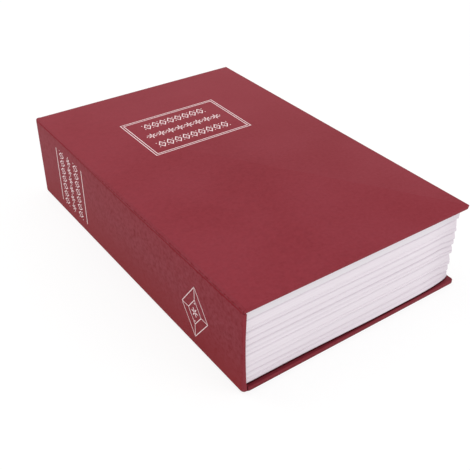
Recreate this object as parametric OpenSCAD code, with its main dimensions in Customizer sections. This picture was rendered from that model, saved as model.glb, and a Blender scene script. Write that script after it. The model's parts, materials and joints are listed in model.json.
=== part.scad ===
// A combination safe in the shape of a hardback book, lying on its back cover.
// X runs from the spine to the fore edge, Y from tail to head, Z upwards, in millimetres.
// The origin is the middle of the underside. The cover is shut and the bolt is drawn back.

/* [Case] */
// Height of the covers, tail to head
book_l = 180; // [160:1:240]
// Width of the closed book, spine to fore edge
book_w = 118; // [114:1:160]
// Thickness of the closed book
book_h = 42; // [40:0.5:60]
// Covering paper
wrap_t = 0.3; // [0.2:0.05:0.5]
// Greyboard inside the covers and the spine
board_t = 1.5; // [1.2:0.1:2.5]
// Lining paper inside the covers
lining_t = 0.2; // [0.1:0.05:0.4]
// Width of the covering paper that is turned in
hem_w = 12; // [8:0.5:15]
// Radius of the covers' fore corners
cover_corner_r = 2; // [1:0.25:4]
// Edge of a cover to the edge of its lining
lining_inset = 1.2; // [0.8:0.1:4]
// Gap at the fold between the front cover and the spine
fold_gap = 0.05; // [0.03:0.01:0.15]
// Top of the spine board to the front cover
spine_gap = 0.1; // [0.08:0.02:0.4]

/* [Page block] */
// How far the covers stand past the pages at the fore edge
fore_square = 0.8; // [0.5:0.1:4]
// How far the covers stand past the pages at head and tail
end_square = 1.3; // [0.5:0.1:4]
// Rim of the page block to the lining of the closed front cover
rim_gap = 0.2; // [0.15:0.05:0.8]
// Outer wall of the page block, measured to the ridges
page_wall = 2.2; // [1.8:0.1:3]
// Depth of the deepest groove between the moulded bundles of pages
groove_depth = 0.7; // [0.3:0.05:0.9]
// Radius of the page block's fore corners
page_corner_r = 5; // [4:0.5:8]
// Width of the rim around the steel box
rim_w = 9; // [7:0.5:12]
// Thickness of the rim and of the walls inside the page block
moulding_t = 1.5; // [1.2:0.1:2.5]
// Distance between the stiffening ribs
rib_pitch = 26; // [18:1:40]
// Wall of the page block behind the spine
spine_wall_t = 1.3; // [1:0.1:2]
// How far that wall stops below the rim
spine_wall_drop = 2.5; // [2.5:0.1:5]

/* [Steel box and lid] */
// Sheet steel of the box
box_t = 1; // [0.8:0.1:1.5]
// Sheet steel of the lid
lid_t = 1; // [0.8:0.1:1.5]
// Outer corner radius of the box
box_corner_r = 3; // [2:0.5:6]
// Rim of the page block to the top of the lid
lid_drop = 4; // [4:0.1:6]
// Height of the lid's turned-down edge
lid_lip = 6; // [4:0.5:8]
// Lid to the rim of the page block
lid_gap = 0.6; // [0.4:0.1:1.2]
// Box to the lid's turned-down edge
lip_gap = 0.4; // [0.3:0.1:0.8]
// Strike plate behind the bolt's slot
strike_t = 1; // [0.8:0.1:1.5]
// Length of the strike plate
strike_l = 26; // [22:1:40]
// Height of the strike plate
strike_h = 6; // [5:0.5:10]

/* [Hinge] */
// Length of the hinge
hinge_l = 120; // [80:2:130]
// Number of knuckles
knuckles = 9; // [5:2:11]
// Outer radius of a knuckle
knuckle_r = 1.8; // [1.5:0.1:2.2]
// Radius of the hinge pin
hinge_pin_r = 0.9; // [0.7:0.05:1.1]
// Sheet of the hinge leaves
leaf_t = 0.8; // [0.6:0.1:1]
// Length of a hinge leaf away from the pin
leaf_w = 12; // [9:0.5:14]
// Clearance around and between the knuckles
knuckle_gap = 0.2; // [0.15:0.05:0.4]
// Radial running clearance of pins and axles
run_gap = 0.05; // [0.03:0.01:0.08]
// Radius of a hinge rivet's shank
rivet_r = 1.2; // [0.8:0.1:1.5]
// Rivets along each hinge leaf
rivets = 4; // [3:1:6]

/* [Lock] */
// Corner radius of a ten-sided number wheel
wheel_r = 7; // [6.5:0.1:7.2]
// Width of a number wheel
wheel_w = 5; // [4.5:0.1:6]
// Distance between number wheels
wheel_pitch = 7.8; // [7.8:0.1:9]
// Top of the wheels to the lining of the closed front cover
wheel_gap = 0.4; // [0.3:0.05:0.8]
// Radius of the lock's axle
axle_r = 1.25; // [1:0.05:1.4]
// Radius of a code sleeve
sleeve_r = 2.2; // [2:0.05:2.3]
// Radius of the code cam on a sleeve
cam_r = 4; // [3.9:0.05:4.1]
// Thickness of a code cam
cam_t = 1; // [0.8:0.05:1]
// Depth of the flat on a code cam
cam_cut = 1; // [0.9:0.05:1.1]
// Sideways travel of the axle when the code is changed
reset_travel = 1.2; // [1.15:0.05:1.3]
// Travel of the bolt
bolt_travel = 6.5; // [6.4:0.1:7.5]
// Thickness of the bolt plate
bolt_t = 1.2; // [1:0.1:1.4]
// Width of the bolt's tongue
tongue_w = 16; // [10:0.5:18]
// How far the thrown tongue stands past the box
tongue_reach = 1.2; // [0.8:0.1:1.3]
// Wall of the lock housing
lock_wall = 1.2; // [1:0.1:1.5]
// Thickness of the lock's face plate on the lid
face_t = 1.8; // [1.7:0.05:1.9]
// How far the face plate overlaps the lid at the sides
face_overlap = 3.2; // [3.2:0.1:4]
// Cover plate under the lock
lock_plate_t = 1; // [0.8:0.1:1.2]
// Length, width and height of the thumb slider
slider_size = [7, 12, 1.9]; // [1.8:0.1:14]
// Thickness of the detent spring
spring_t = 0.3; // [0.2:0.05:0.4]
// Shank radius of the lock's screws
screw_r = 0.8; // [0.6:0.05:0.9]

/* [Hidden] */
$fn = 64;

// A hair that cutting shapes stand past the faces they cut
cut = 1;

// The case
case_red = [0.56, 0.23, 0.27];
cover_t = 2 * wrap_t + board_t;
case_in = cover_t + lining_t;
spine_x = -book_w / 2;
fore_x = book_w / 2;
end_y = book_l / 2;
spine_in_x = spine_x + cover_t;
spine_board_x = spine_x + wrap_t;
back_board_x = spine_board_x + board_t;
front_x = spine_x + wrap_t + fold_gap;
spine_top = book_h - cover_t - spine_gap;
lining_x = spine_in_x + spine_gap + wrap_t;
pad_gap = 0.1;

// The page block
rim_z = book_h - case_in - rim_gap;
page_fore_x = fore_x - fore_square;
page_end_y = end_y - end_square;
open_x = page_fore_x - rim_w;
open_y = page_end_y - rim_w;
open_corner_r = box_corner_r + lip_gap + lid_t + lid_gap;
spine_wall_in = spine_in_x + spine_wall_t;
corner_x = page_fore_x - page_corner_r;
corner_y = page_end_y - page_corner_r;
rim_inset = 0.75 * page_wall;
// Thickness of each moulded bundle of pages, from the bottom up, in shares of the height
bundles = [2, 3, 2, 2, 2, 2, 2, 2, 3, 3, 4, 2, 2, 3, 4];
// The grooves that are cut to the full depth, counted from the bottom
deep_grooves = [2, 7, 9, 11, 14];
shallow_share = 0.6;

// The box, the lid and the hinge
box_x1 = open_x - lid_gap - lid_t - lip_gap;
box_y = open_y - lid_gap - lid_t - lip_gap;
lid_x1 = open_x - lid_gap;
lid_y = open_y - lid_gap;
lid_z = rim_z - lid_drop;
lid_under = lid_z - lid_t;
box_top = lid_under - leaf_t - knuckle_gap;
hinge_z = lid_under - knuckle_gap - knuckle_r;
lid_back = 1.9;
lid_sweep = norm([lid_back, lid_z - hinge_z]);
hinge_x = spine_wall_in + lid_sweep + 0.5;
box_x0 = hinge_x + knuckle_r + knuckle_gap;
lid_x0 = hinge_x - lid_back;
lip_x0 = box_x0 + 2;
knuckle_l = hinge_l / knuckles;
rivet_head_r = 1.8 * rivet_r;
rivet_head_h = 0.7;
rivet_pitch = hinge_l / rivets;
box_rivet_z = hinge_z - 0.6 * leaf_w;
lid_rivet_x = hinge_x + 0.7 * leaf_w;

// The lock: heights
face_z = lid_z + face_t;
axis_z = book_h - case_in - wheel_gap - wheel_r;
bolt_top = axis_z - wheel_r - 0.5;
bolt_z = bolt_top - bolt_t;
slide_gap = 0.1;
lock_z = bolt_z - slide_gap;
finger_top = axis_z - (cam_r - cam_cut) - 0.3;
slider_z = face_z + 0.15;
// The lock: places along the book, worked out from the fore wall of the box
swing_gap = 1.9;
lock_x1 = box_x1 - box_t - strike_t - swing_gap;
post_l = 3;
post_w = 5;
post_gap = 0.3;
corner_post = 3;
corner_post_h = 3.5;
post_x = lock_x1 - lock_wall - post_gap - post_l / 2 - bolt_travel;
window_half = sqrt(pow(wheel_r, 2) - pow(lid_z - axis_z, 2)) + 0.4;
window_gap = 0.2;
cam_room = 0.15;
face_corner_r = 2.5;
face_edge = 0.7;
slider_gap = 1.2;
axis_x = post_x - slider_size[0] / 2 - slider_gap - window_half;
spring_room = 1.6;
lock_x0 = axis_x - wheel_r - spring_room - lock_wall;
face_end = 2.2;
// The lock: places across the book
sleeve_lead = 0.3;
collar_t = 0.35;
end_play = 0.15;
stack_lo = sleeve_lead + collar_t + run_gap + end_play;
stack_hi = wheel_pitch - wheel_w - sleeve_lead + reset_travel + end_play;
axis_y = (stack_lo - stack_hi) / 2;
cavity_y = wheel_pitch + wheel_w / 2 + (stack_lo + stack_hi) / 2;
lock_y = cavity_y + lock_wall;
sleeve_l = wheel_pitch - run_gap;
cam_gap = 0.25;
cam_y = wheel_w / 2 + cam_gap;
tooth_l = reset_travel - 0.2;
tooth_w = 0.6;
tooth_gap = 0.15;
notch_r = 0.45;
tooth_r = sleeve_r + 1.1;
finger_l = 1.2;
finger_w = 0.8;
face_y = lock_y + face_overlap;
face_screw_x = [lock_x0 + 3, lock_x1 - 3];
face_screw_y = lock_y + face_overlap / 2 + 0.1;
plate_screw_x = [lock_x0 + lock_wall + corner_post / 2, lock_x1 - lock_wall - corner_post / 2];
plate_screw_y = cavity_y - corner_post / 2;
screw_head_r = 1.75 * screw_r;
screw_head_h = 0.8;
screw_fit = 0.05;
slider_pin_l = 3.5;
press_gap = 0.01;
tongue_slot_gap = 0.2;
tongue_x = box_x1 + tongue_reach - bolt_travel;
plate_x0 = axis_x - bolt_travel / 2 - finger_l / 2 - 0.5;
plate_x1 = lock_x1 - lock_wall - corner_post - 0.3 - bolt_travel;
lever_gap = 0.3;
lever_t = 1;
lever_r = 3;

function wheel_y(i) = axis_y + (i - 2) * wheel_pitch;
function share(n) = n == 0 ? 0 : bundles[n - 1] + share(n - 1);
function bundle_z(n) = case_in + (rim_z - case_in) * share(n) / share(len(bundles));
function groove(n) = groove_depth * (len(search(n, deep_grooves)) > 0 ? 1 : shallow_share);

// A sheet with square corners at the spine and round ones at the fore edge
module leaf_shape(x0, x1, half_y, r) {
    translate([x0, -half_y]) square([x1 - r - x0, 2 * half_y]);
    translate([x0, r - half_y]) square([x1 - x0, 2 * (half_y - r)]);
    for (side = [-1, 1]) translate([x1 - r, side * (half_y - r)]) circle(r);
}

// A rectangle with four round corners
module round_shape(x0, x1, half_y, r) {
    translate([x0 + r, -half_y]) square([x1 - x0 - 2 * r, 2 * half_y]);
    translate([x0, r - half_y]) square([x1 - x0, 2 * (half_y - r)]);
    for (x = [x0 + r, x1 - r], side = [-1, 1]) translate([x, side * (half_y - r)]) circle(r);
}

// Points an upright shape's z axis along the book, from tail to head
module along_y(x, y, z) {
    translate([x, y, z]) rotate([-90, 0, 0]) children();
}

// Turns a closed cover over, from the back of the book to its front
module as_front() {
    translate([0, 0, book_h]) mirror([0, 0, 1]) children();
}

// Greyboard of a cover, lying on its covering paper
module cover_board(x0) {
    translate([0, 0, wrap_t]) linear_extrude(board_t)
        leaf_shape(x0, fore_x - wrap_t, end_y - wrap_t, cover_corner_r - wrap_t);
}

// Room for the board of a cover and for the lining between the turned-in edges
module cover_pocket(x0) {
    translate([0, 0, wrap_t]) linear_extrude(board_t)
        leaf_shape(x0, fore_x - wrap_t, end_y - wrap_t, cover_corner_r - wrap_t);
    translate([0, 0, wrap_t]) linear_extrude(cover_t)
        leaf_shape(x0, fore_x - hem_w, end_y - hem_w, cover_corner_r);
}

// Lining paper: a sheet over the turned-in edges, pressed down onto the board between them
module cover_lining(x0) {
    translate([0, 0, cover_t]) linear_extrude(lining_t)
        leaf_shape(x0, fore_x - lining_inset, end_y - lining_inset, cover_corner_r);
    translate([0, 0, cover_t - wrap_t]) linear_extrude(wrap_t + lining_t)
        leaf_shape(x0, fore_x - hem_w - pad_gap, end_y - hem_w - pad_gap, cover_corner_r);
}

module back_board() {
    color([0.62, 0.58, 0.52]) cover_board(back_board_x);
}

module spine_board() {
    color([0.62, 0.58, 0.52]) translate([spine_board_x, wrap_t - end_y, wrap_t])
        cube([board_t, book_l - 2 * wrap_t, spine_top - wrap_t]);
}

// One sheet of paper: under the back board, up the spine and turned in round their edges
module case_wrap() {
    color(case_red) difference() {
        union() {
            linear_extrude(cover_t) leaf_shape(spine_x, fore_x, end_y, cover_corner_r);
            translate([spine_x, -end_y, 0]) cube([cover_t, book_l, spine_top]);
            translate([spine_x, -end_y, 0]) cube([wrap_t, book_l, book_h]);
        }
        cover_pocket(back_board_x);
        translate([spine_board_x, wrap_t - end_y, wrap_t])
            cube([board_t, book_l - 2 * wrap_t, book_h]);
        translate([back_board_x, hem_w - end_y, wrap_t])
            cube([cover_t, book_l - 2 * hem_w, book_h]);
    }
}

module back_lining() {
    color([0.13, 0.12, 0.13]) cover_lining(spine_in_x);
}

module front_board() {
    color([0.62, 0.58, 0.52]) as_front() cover_board(front_x);
}

module front_wrap() {
    color(case_red) as_front() difference() {
        linear_extrude(cover_t) leaf_shape(front_x, fore_x, end_y, cover_corner_r);
        cover_pocket(front_x - cut);
    }
}

module front_lining() {
    color([0.13, 0.12, 0.13]) as_front() cover_lining(lining_x);
}

// Cross-section of the page block's outer wall: x is 0 at its outer face, y is the height.
// Each bundle of pages bulges between two grooves, fullest a little above its middle.
module page_section() {
    tops = [for (n = [0 : len(bundles) - 1])
        let (z0 = bundle_z(n), h = bundle_z(n + 1) - z0)
        each [[-groove(n), z0], [-0.25 * groove_depth, z0 + 0.2 * h],
              [0, z0 + 0.6 * h], [-0.1 * groove_depth, z0 + 0.88 * h]]];
    polygon(concat([[-page_wall, case_in]], tops,
                   [[-0.5 * groove_depth, rim_z], [-page_wall, rim_z]]));
}

// A straight length of that wall, facing +X and running towards the tail
module page_side(length) {
    rotate([90, 0, 0]) linear_extrude(length) page_section();
}

// Half of the outer wall: along the tail, round the fore corner and up to the middle
module page_half() {
    translate([corner_x, -page_end_y, 0]) rotate([0, 0, -90]) page_side(corner_x - spine_in_x);
    translate([corner_x, -corner_y, 0]) rotate([0, 0, -90])
        rotate_extrude(angle = 90) translate([page_corner_r, 0]) page_section();
    translate([page_fore_x, 0, 0]) page_side(corner_y);
}

// The middle of the page block within the opening for the box, and past it at the spine
module box_opening(bottom) {
    translate([0, 0, bottom]) linear_extrude(book_h)
        leaf_shape(spine_in_x - cut, open_x, open_y, open_corner_r);
}

// Moulded frame that looks like the leaves of the book and holds the steel box
module page_frame() {
    wall_h = rim_z - case_in;
    rib_l = rim_w - rim_inset - moulding_t / 2;
    rib_y = open_y + moulding_t / 2;
    color([0.91, 0.89, 0.92]) {
        for (side = [0, 1]) mirror([0, side, 0]) page_half();
        difference() {
            translate([0, 0, rim_z - moulding_t]) linear_extrude(moulding_t)
                leaf_shape(spine_in_x, page_fore_x - rim_inset, page_end_y - rim_inset,
                           page_corner_r - rim_inset);
            box_opening(rim_z - moulding_t - cut);
        }
        difference() {
            translate([0, 0, case_in]) linear_extrude(wall_h)
                leaf_shape(spine_in_x, open_x + moulding_t, open_y + moulding_t,
                           open_corner_r + moulding_t);
            box_opening(case_in - cut);
        }
        translate([spine_in_x, -rib_y, case_in])
            cube([spine_wall_t, 2 * rib_y, wall_h - spine_wall_drop]);
        for (side = [0, 1], x = [spine_wall_in + rib_pitch / 2 : rib_pitch : corner_x - rib_pitch / 2])
            mirror([0, side, 0]) translate([x - moulding_t / 2, rib_y, case_in])
                cube([moulding_t, rib_l, wall_h]);
        fore_ribs = floor((corner_y - rib_pitch / 2) / rib_pitch);
        for (n = [-fore_ribs : fore_ribs])
            translate([open_x + moulding_t / 2, n * rib_pitch - moulding_t / 2, case_in])
                cube([rib_l, moulding_t, wall_h]);
    }
}

// Slot for the bolt's tongue, cut through whatever stands at the fore wall
module tongue_slot() {
    translate([lock_x1, -tongue_w / 2 - tongue_slot_gap, bolt_z - tongue_slot_gap])
        cube([box_x1 + cut - lock_x1, tongue_w + 2 * tongue_slot_gap, bolt_t + 2 * tongue_slot_gap]);
}

module steel_box() {
    color([0.16, 0.16, 0.17]) difference() {
        translate([0, 0, case_in]) linear_extrude(box_top - case_in)
            round_shape(box_x0, box_x1, box_y, box_corner_r);
        translate([0, 0, case_in + box_t]) linear_extrude(box_top)
            round_shape(box_x0 + box_t, box_x1 - box_t, box_y - box_t, box_corner_r - box_t);
        tongue_slot();
        box_rivet_places() cylinder(r = rivet_r, h = 6 * box_t, center = true);
    }
}

module strike_plate() {
    color([0.7, 0.71, 0.72]) difference() {
        translate([box_x1 - box_t - strike_t, -strike_l / 2, bolt_z + (bolt_t - strike_h) / 2])
            cube([strike_t, strike_l, strike_h]);
        tongue_slot();
    }
}

// Puts a rivet's shape at each of its places on the back wall of the box, pointing +X
module box_rivet_places() {
    for (n = [0 : rivets - 1])
        translate([box_x0, (n - (rivets - 1) / 2) * rivet_pitch, box_rivet_z])
            rotate([0, 90, 0]) children();
}

// The same for the lid, pointing up
module lid_rivet_places() {
    for (n = [0 : rivets - 1])
        translate([lid_rivet_x, (n - (rivets - 1) / 2) * rivet_pitch, lid_under]) children();
}

// A rivet through two sheets: z0 and z1 are the outer faces that its heads sit on
module rivet(z0, z1) {
    translate([0, 0, z0]) cylinder(r = rivet_r, h = z1 - z0);
    for (end = [0, 1]) translate([0, 0, end ? z1 : z0]) mirror([0, 0, 1 - end]) {
        cylinder(r = rivet_head_r, h = 0.4 * rivet_head_h);
        translate([0, 0, 0.4 * rivet_head_h])
            cylinder(r1 = rivet_head_r, r2 = 0.55 * rivet_head_r, h = 0.6 * rivet_head_h);
    }
}

// Rolled knuckles of one leaf, every second one from the given start
module knuckle_row(start) {
    for (n = [start : 2 : knuckles - 1])
        translate([0, n * knuckle_l - hinge_l / 2 + knuckle_gap / 2, 0])
            children();
}

module pin_bore() {
    along_y(hinge_x, -hinge_l / 2 - cut, hinge_z)
        cylinder(r = hinge_pin_r + run_gap, h = hinge_l + 2 * cut);
}

module box_hinge_leaf() {
    color([0.72, 0.73, 0.74]) difference() {
        union() {
            translate([box_x0 - leaf_t, -hinge_l / 2, hinge_z - leaf_w])
                cube([leaf_t, hinge_l, leaf_w - knuckle_r - knuckle_gap]);
            knuckle_row(0) {
                along_y(hinge_x, 0, hinge_z) cylinder(r = knuckle_r, h = knuckle_l - knuckle_gap);
                translate([box_x0 - leaf_t, 0, hinge_z - knuckle_r - knuckle_gap - cut])
                    cube([leaf_t, knuckle_l - knuckle_gap, knuckle_r + knuckle_gap + cut]);
            }
        }
        pin_bore();
        box_rivet_places() cylinder(r = rivet_r, h = 6 * box_t, center = true);
    }
}

module lid_hinge_leaf() {
    leaf_x = hinge_x + knuckle_r + knuckle_gap;
    color([0.72, 0.73, 0.74]) difference() {
        union() {
            translate([leaf_x, -hinge_l / 2, lid_under - leaf_t])
                cube([leaf_w - leaf_x + hinge_x, hinge_l, leaf_t]);
            knuckle_row(1) {
                along_y(hinge_x, 0, hinge_z) cylinder(r = knuckle_r, h = knuckle_l - knuckle_gap);
                translate([hinge_x, 0, lid_under - leaf_t])
                    cube([leaf_x - hinge_x + cut, knuckle_l - knuckle_gap, leaf_t]);
            }
        }
        pin_bore();
        lid_rivet_places() cylinder(r = rivet_r, h = 6 * lid_t, center = true);
    }
}

module hinge_pin() {
    head_h = 0.6;
    color([0.8, 0.81, 0.82]) {
        along_y(hinge_x, -hinge_l / 2 - head_h, hinge_z)
            cylinder(r = hinge_pin_r, h = hinge_l + 2 * head_h);
        for (y = [-hinge_l / 2 - head_h, hinge_l / 2])
            along_y(hinge_x, y, hinge_z) cylinder(r = hinge_pin_r + 0.5, h = head_h);
    }
}

module box_rivets() {
    color([0.75, 0.76, 0.77]) box_rivet_places() rivet(-leaf_t, box_t);
}

module lid_rivets() {
    color([0.75, 0.76, 0.77]) lid_rivet_places() rivet(-leaf_t, lid_t);
}

// Lid with its edge turned down over the box on three sides, cut out for the lock
module lid_panel() {
    lid_r = open_corner_r - lid_gap;
    color([0.16, 0.16, 0.17]) difference() {
        union() {
            translate([0, 0, lid_under]) linear_extrude(lid_t) leaf_shape(lid_x0, lid_x1, lid_y, lid_r);
            difference() {
                translate([0, 0, lid_z - lid_lip]) linear_extrude(lid_lip)
                    leaf_shape(lip_x0, lid_x1, lid_y, lid_r);
                translate([0, 0, lid_z - lid_lip - cut]) linear_extrude(lid_lip + cut - lid_t)
                    leaf_shape(lip_x0 - cut, lid_x1 - lid_t, lid_y - lid_t, lid_r - lid_t);
            }
        }
        translate([lock_x0 - window_gap, -lock_y - window_gap, lid_under - cut])
            cube([lock_x1 - lock_x0 + 2 * window_gap, 2 * (lock_y + window_gap), lid_t + 2 * cut]);
        lid_rivet_places() cylinder(r = rivet_r, h = 6 * lid_t, center = true);
        face_screw_places() cylinder(r = screw_r + screw_fit, h = 4 * lid_t, center = true);
    }
}

module face_screw_places() {
    for (x = face_screw_x, side = [-1, 1]) translate([x, side * face_screw_y, lid_under]) children();
}

module plate_screw_places() {
    for (x = plate_screw_x, side = [-1, 1])
        translate([x, side * plate_screw_y, lock_z - lock_plate_t]) children();
}

// A pan-head screw whose head hangs below z = 0, with a cross recess
module screw(length) {
    difference() {
        union() {
            cylinder(r = screw_r, h = length);
            translate([0, 0, -0.6 * screw_head_h]) cylinder(r = screw_head_r, h = 0.6 * screw_head_h);
            translate([0, 0, -screw_head_h])
                cylinder(r1 = 0.7 * screw_head_r, r2 = screw_head_r, h = 0.4 * screw_head_h);
        }
        for (turn = [0, 90]) rotate([0, 0, turn]) translate([0, 0, -screw_head_h])
            cube([1.2 * screw_head_r, 0.25 * screw_head_r, screw_head_h], center = true);
    }
}

// Die-cast housing hung in the lid: a face plate with three windows over a box for the works
module lock_housing() {
    blind = 0.7 * face_t;
    rail_w = 0.6;
    rail_h = 1.2;
    color([0.78, 0.79, 0.8]) difference() {
        union() {
            translate([0, 0, lid_z]) linear_extrude(0.65 * face_t)
                round_shape(lock_x0 - face_end, lock_x1 + face_end, face_y, face_corner_r);
            translate([0, 0, lid_z]) linear_extrude(face_t)
                round_shape(lock_x0 - face_end + face_edge, lock_x1 + face_end - face_edge,
                            face_y - face_edge, face_corner_r - face_edge);
            difference() {
                translate([lock_x0, -lock_y, lock_z]) cube([lock_x1 - lock_x0, 2 * lock_y, lid_z - lock_z]);
                translate([lock_x0 + lock_wall, -cavity_y, lock_z - cut])
                    cube([lock_x1 - lock_x0 - 2 * lock_wall, 2 * cavity_y, lid_z - lock_z + cut]);
            }
            for (x = plate_screw_x, side = [-1, 1])
                translate([x - corner_post / 2, side * plate_screw_y - corner_post / 2, lock_z])
                    cube([corner_post, corner_post, corner_post_h]);
            for (side = [-1, 1])
                translate([plate_screw_x[0], side * (cavity_y - rail_w / 2) - rail_w / 2, bolt_top + slide_gap])
                    cube([plate_screw_x[1] - plate_screw_x[0], rail_w, rail_h]);
        }
        for (i = [1 : 3])
            translate([axis_x - window_half, wheel_y(i) - wheel_w / 2 - window_gap, lid_z - cut])
                cube([2 * window_half, wheel_w + 2 * window_gap, face_t + 2 * cut]);
        translate([post_x - post_l / 2 - post_gap, -post_w / 2 - post_gap, lid_z - cut])
            cube([bolt_travel + post_l + 2 * post_gap, post_w + 2 * post_gap, face_t + 2 * cut]);
        translate([lock_x1 - lock_wall - cut, -tongue_w / 2 - tongue_slot_gap, lock_z - cut])
            cube([lock_wall + 2 * cut, tongue_w + 2 * tongue_slot_gap, bolt_t + 3 * slide_gap + cut]);
        along_y(axis_x, -lock_y - cut, axis_z)
            cylinder(r = axle_r + run_gap, h = 2 * (lock_y + cut));
        along_y(axis_x, wheel_y(1), axis_z) cylinder(r = cam_r + cam_room, h = cavity_y - wheel_y(1));
        face_screw_places() cylinder(r = screw_r + screw_fit, h = lid_t + blind);
        plate_screw_places() cylinder(r = screw_r + screw_fit, h = lock_plate_t + 0.8 * corner_post_h);
    }
}

module lock_plate() {
    color([0.7, 0.71, 0.72]) difference() {
        translate([lock_x0, -lock_y, lock_z - lock_plate_t])
            cube([lock_x1 - lock_x0, 2 * lock_y, lock_plate_t]);
        plate_screw_places() cylinder(r = screw_r + screw_fit, h = 3 * lock_plate_t, center = true);
    }
}

// Leaf spring on the housing's rear wall, with a tongue that bears on each wheel
module detent_spring() {
    x = lock_x0 + lock_wall;
    bump = axis_x - wheel_r - 0.3 - spring_t;
    foot_z = lock_z + corner_post_h + 0.3;
    foot_h = 2.2;
    top_z = lid_z - 0.4;
    color([0.82, 0.83, 0.84]) {
        translate([x, -0.88 * cavity_y, foot_z]) cube([spring_t, 1.76 * cavity_y, foot_h]);
        for (i = [1 : 3]) translate([0, wheel_y(i) + 0.36 * wheel_w, 0]) rotate([90, 0, 0])
            linear_extrude(0.72 * wheel_w)
                polygon([[x, foot_z + foot_h], [x + spring_t, foot_z + foot_h],
                         [bump + spring_t, axis_z], [x + 2 * spring_t, top_z],
                         [x + spring_t, top_z], [bump, axis_z]]);
    }
}

module face_screws() {
    color([0.75, 0.76, 0.77]) face_screw_places() screw(lid_t + 0.6 * face_t);
}

module plate_screws() {
    color([0.75, 0.76, 0.77]) plate_screw_places() screw(lock_plate_t + 0.7 * corner_post_h);
}

// Ten-sided wheel with a thumb notch at each corner. A ring of ten slots on its head side
// takes the teeth of its code sleeve in any of the ten positions.
module number_wheel(i) {
    color([0.1, 0.1, 0.11]) along_y(axis_x, wheel_y(i) - wheel_w / 2, axis_z) difference() {
        cylinder(r = wheel_r, h = wheel_w, $fn = 10);
        translate([0, 0, -cut]) cylinder(r = sleeve_r + run_gap, h = wheel_w + 2 * cut);
        for (n = [0 : 9]) rotate([0, 0, 36 * n]) {
            translate([wheel_r, 0, -cut]) cylinder(r = notch_r, h = wheel_w + 2 * cut, $fn = 24);
            translate([sleeve_r - 2 * tooth_gap, -tooth_w / 2 - tooth_gap, wheel_w - tooth_l - tooth_gap])
                cube([tooth_r - sleeve_r + 3 * tooth_gap, tooth_w + 2 * tooth_gap, tooth_l + tooth_gap + cut]);
        }
    }
}

module number_wheel_1() { number_wheel(1); }

module number_wheel_2() { number_wheel(2); }

module number_wheel_3() { number_wheel(3); }

// Sleeve that turns with its wheel on the axle. The flat on its cam faces down, so that
// the bolt's finger passes, only when the wheel shows its number of the code.
module code_sleeve(i) {
    color([0.8, 0.66, 0.35])
        along_y(axis_x, wheel_y(i) - wheel_w / 2 - sleeve_lead, axis_z) difference() {
            union() {
                cylinder(r = sleeve_r, h = sleeve_l);
                translate([0, 0, sleeve_lead + wheel_w + cam_gap]) difference() {
                    cylinder(r = cam_r, h = cam_t);
                    translate([-cam_r - cut, cam_r - cam_cut, -cut])
                        cube([2 * (cam_r + cut), cam_cut + cut, cam_t + 2 * cut]);
                }
                translate([-tooth_r, -tooth_w / 2, sleeve_lead + wheel_w - tooth_l])
                    cube([2 * tooth_r, tooth_w, tooth_l + cam_gap + cam_t / 2]);
            }
            translate([0, 0, -cut]) cylinder(r = axle_r + run_gap, h = sleeve_l + 2 * cut);
        }
}

module code_sleeve_1() { code_sleeve(1); }

module code_sleeve_2() { code_sleeve(2); }

module code_sleeve_3() { code_sleeve(3); }

// Axle with the collar that pushes the sleeves along when the code is changed
module lock_axle() {
    end_l = reset_travel + 0.3;
    collar_y = wheel_y(1) - wheel_w / 2 - sleeve_lead - run_gap - collar_t;
    color([0.75, 0.76, 0.77]) {
        along_y(axis_x, -lock_y - end_l, axis_z)
            cylinder(r = axle_r, h = 2 * lock_y + end_l + lever_gap + lever_t);
        along_y(axis_x, collar_y, axis_z) cylinder(r = sleeve_r - run_gap, h = collar_t);
    }
}

// Lever on the end of the axle, with a bent foot to push with a finger
module reset_lever() {
    foot_drop = 8;
    foot_l = 2.5;
    y0 = lock_y + lever_gap;
    color([0.7, 0.71, 0.72]) difference() {
        union() {
            along_y(axis_x, y0, axis_z) cylinder(r = lever_r - 1, h = lever_t);
            translate([axis_x - lever_r + 1, y0, axis_z - foot_drop])
                cube([2 * (lever_r - 1), lever_t, foot_drop]);
            translate([axis_x - lever_r, y0, axis_z - foot_drop - lever_t])
                cube([2 * lever_r, foot_l, lever_t]);
        }
        along_y(axis_x, y0 - cut, axis_z) cylinder(r = axle_r + press_gap, h = lever_t + 2 * cut);
    }
}

// Bolt: a plate with three fingers behind the cams, a tongue, and the post of the slider
module bolt_plate() {
    color([0.72, 0.73, 0.74]) difference() {
        union() {
            translate([plate_x0, 0.2 - cavity_y, bolt_z])
                cube([plate_x1 - plate_x0, 2 * (cavity_y - 0.2), bolt_t]);
            translate([plate_x1 - cut, -tongue_w / 2, bolt_z])
                cube([tongue_x - plate_x1 + cut, tongue_w, bolt_t]);
            for (i = [1 : 3])
                translate([axis_x - bolt_travel / 2 - finger_l / 2,
                           wheel_y(i) + cam_y + cam_t / 2 - finger_w / 2, bolt_z])
                    cube([finger_l, finger_w, finger_top - bolt_z]);
            translate([post_x - post_l / 2, -post_w / 2, bolt_z])
                cube([post_l, post_w, slider_z - bolt_z]);
        }
        translate([post_x, 0, slider_z - slider_pin_l])
            cylinder(r = screw_r + screw_fit, h = slider_pin_l + cut);
    }
}

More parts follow.
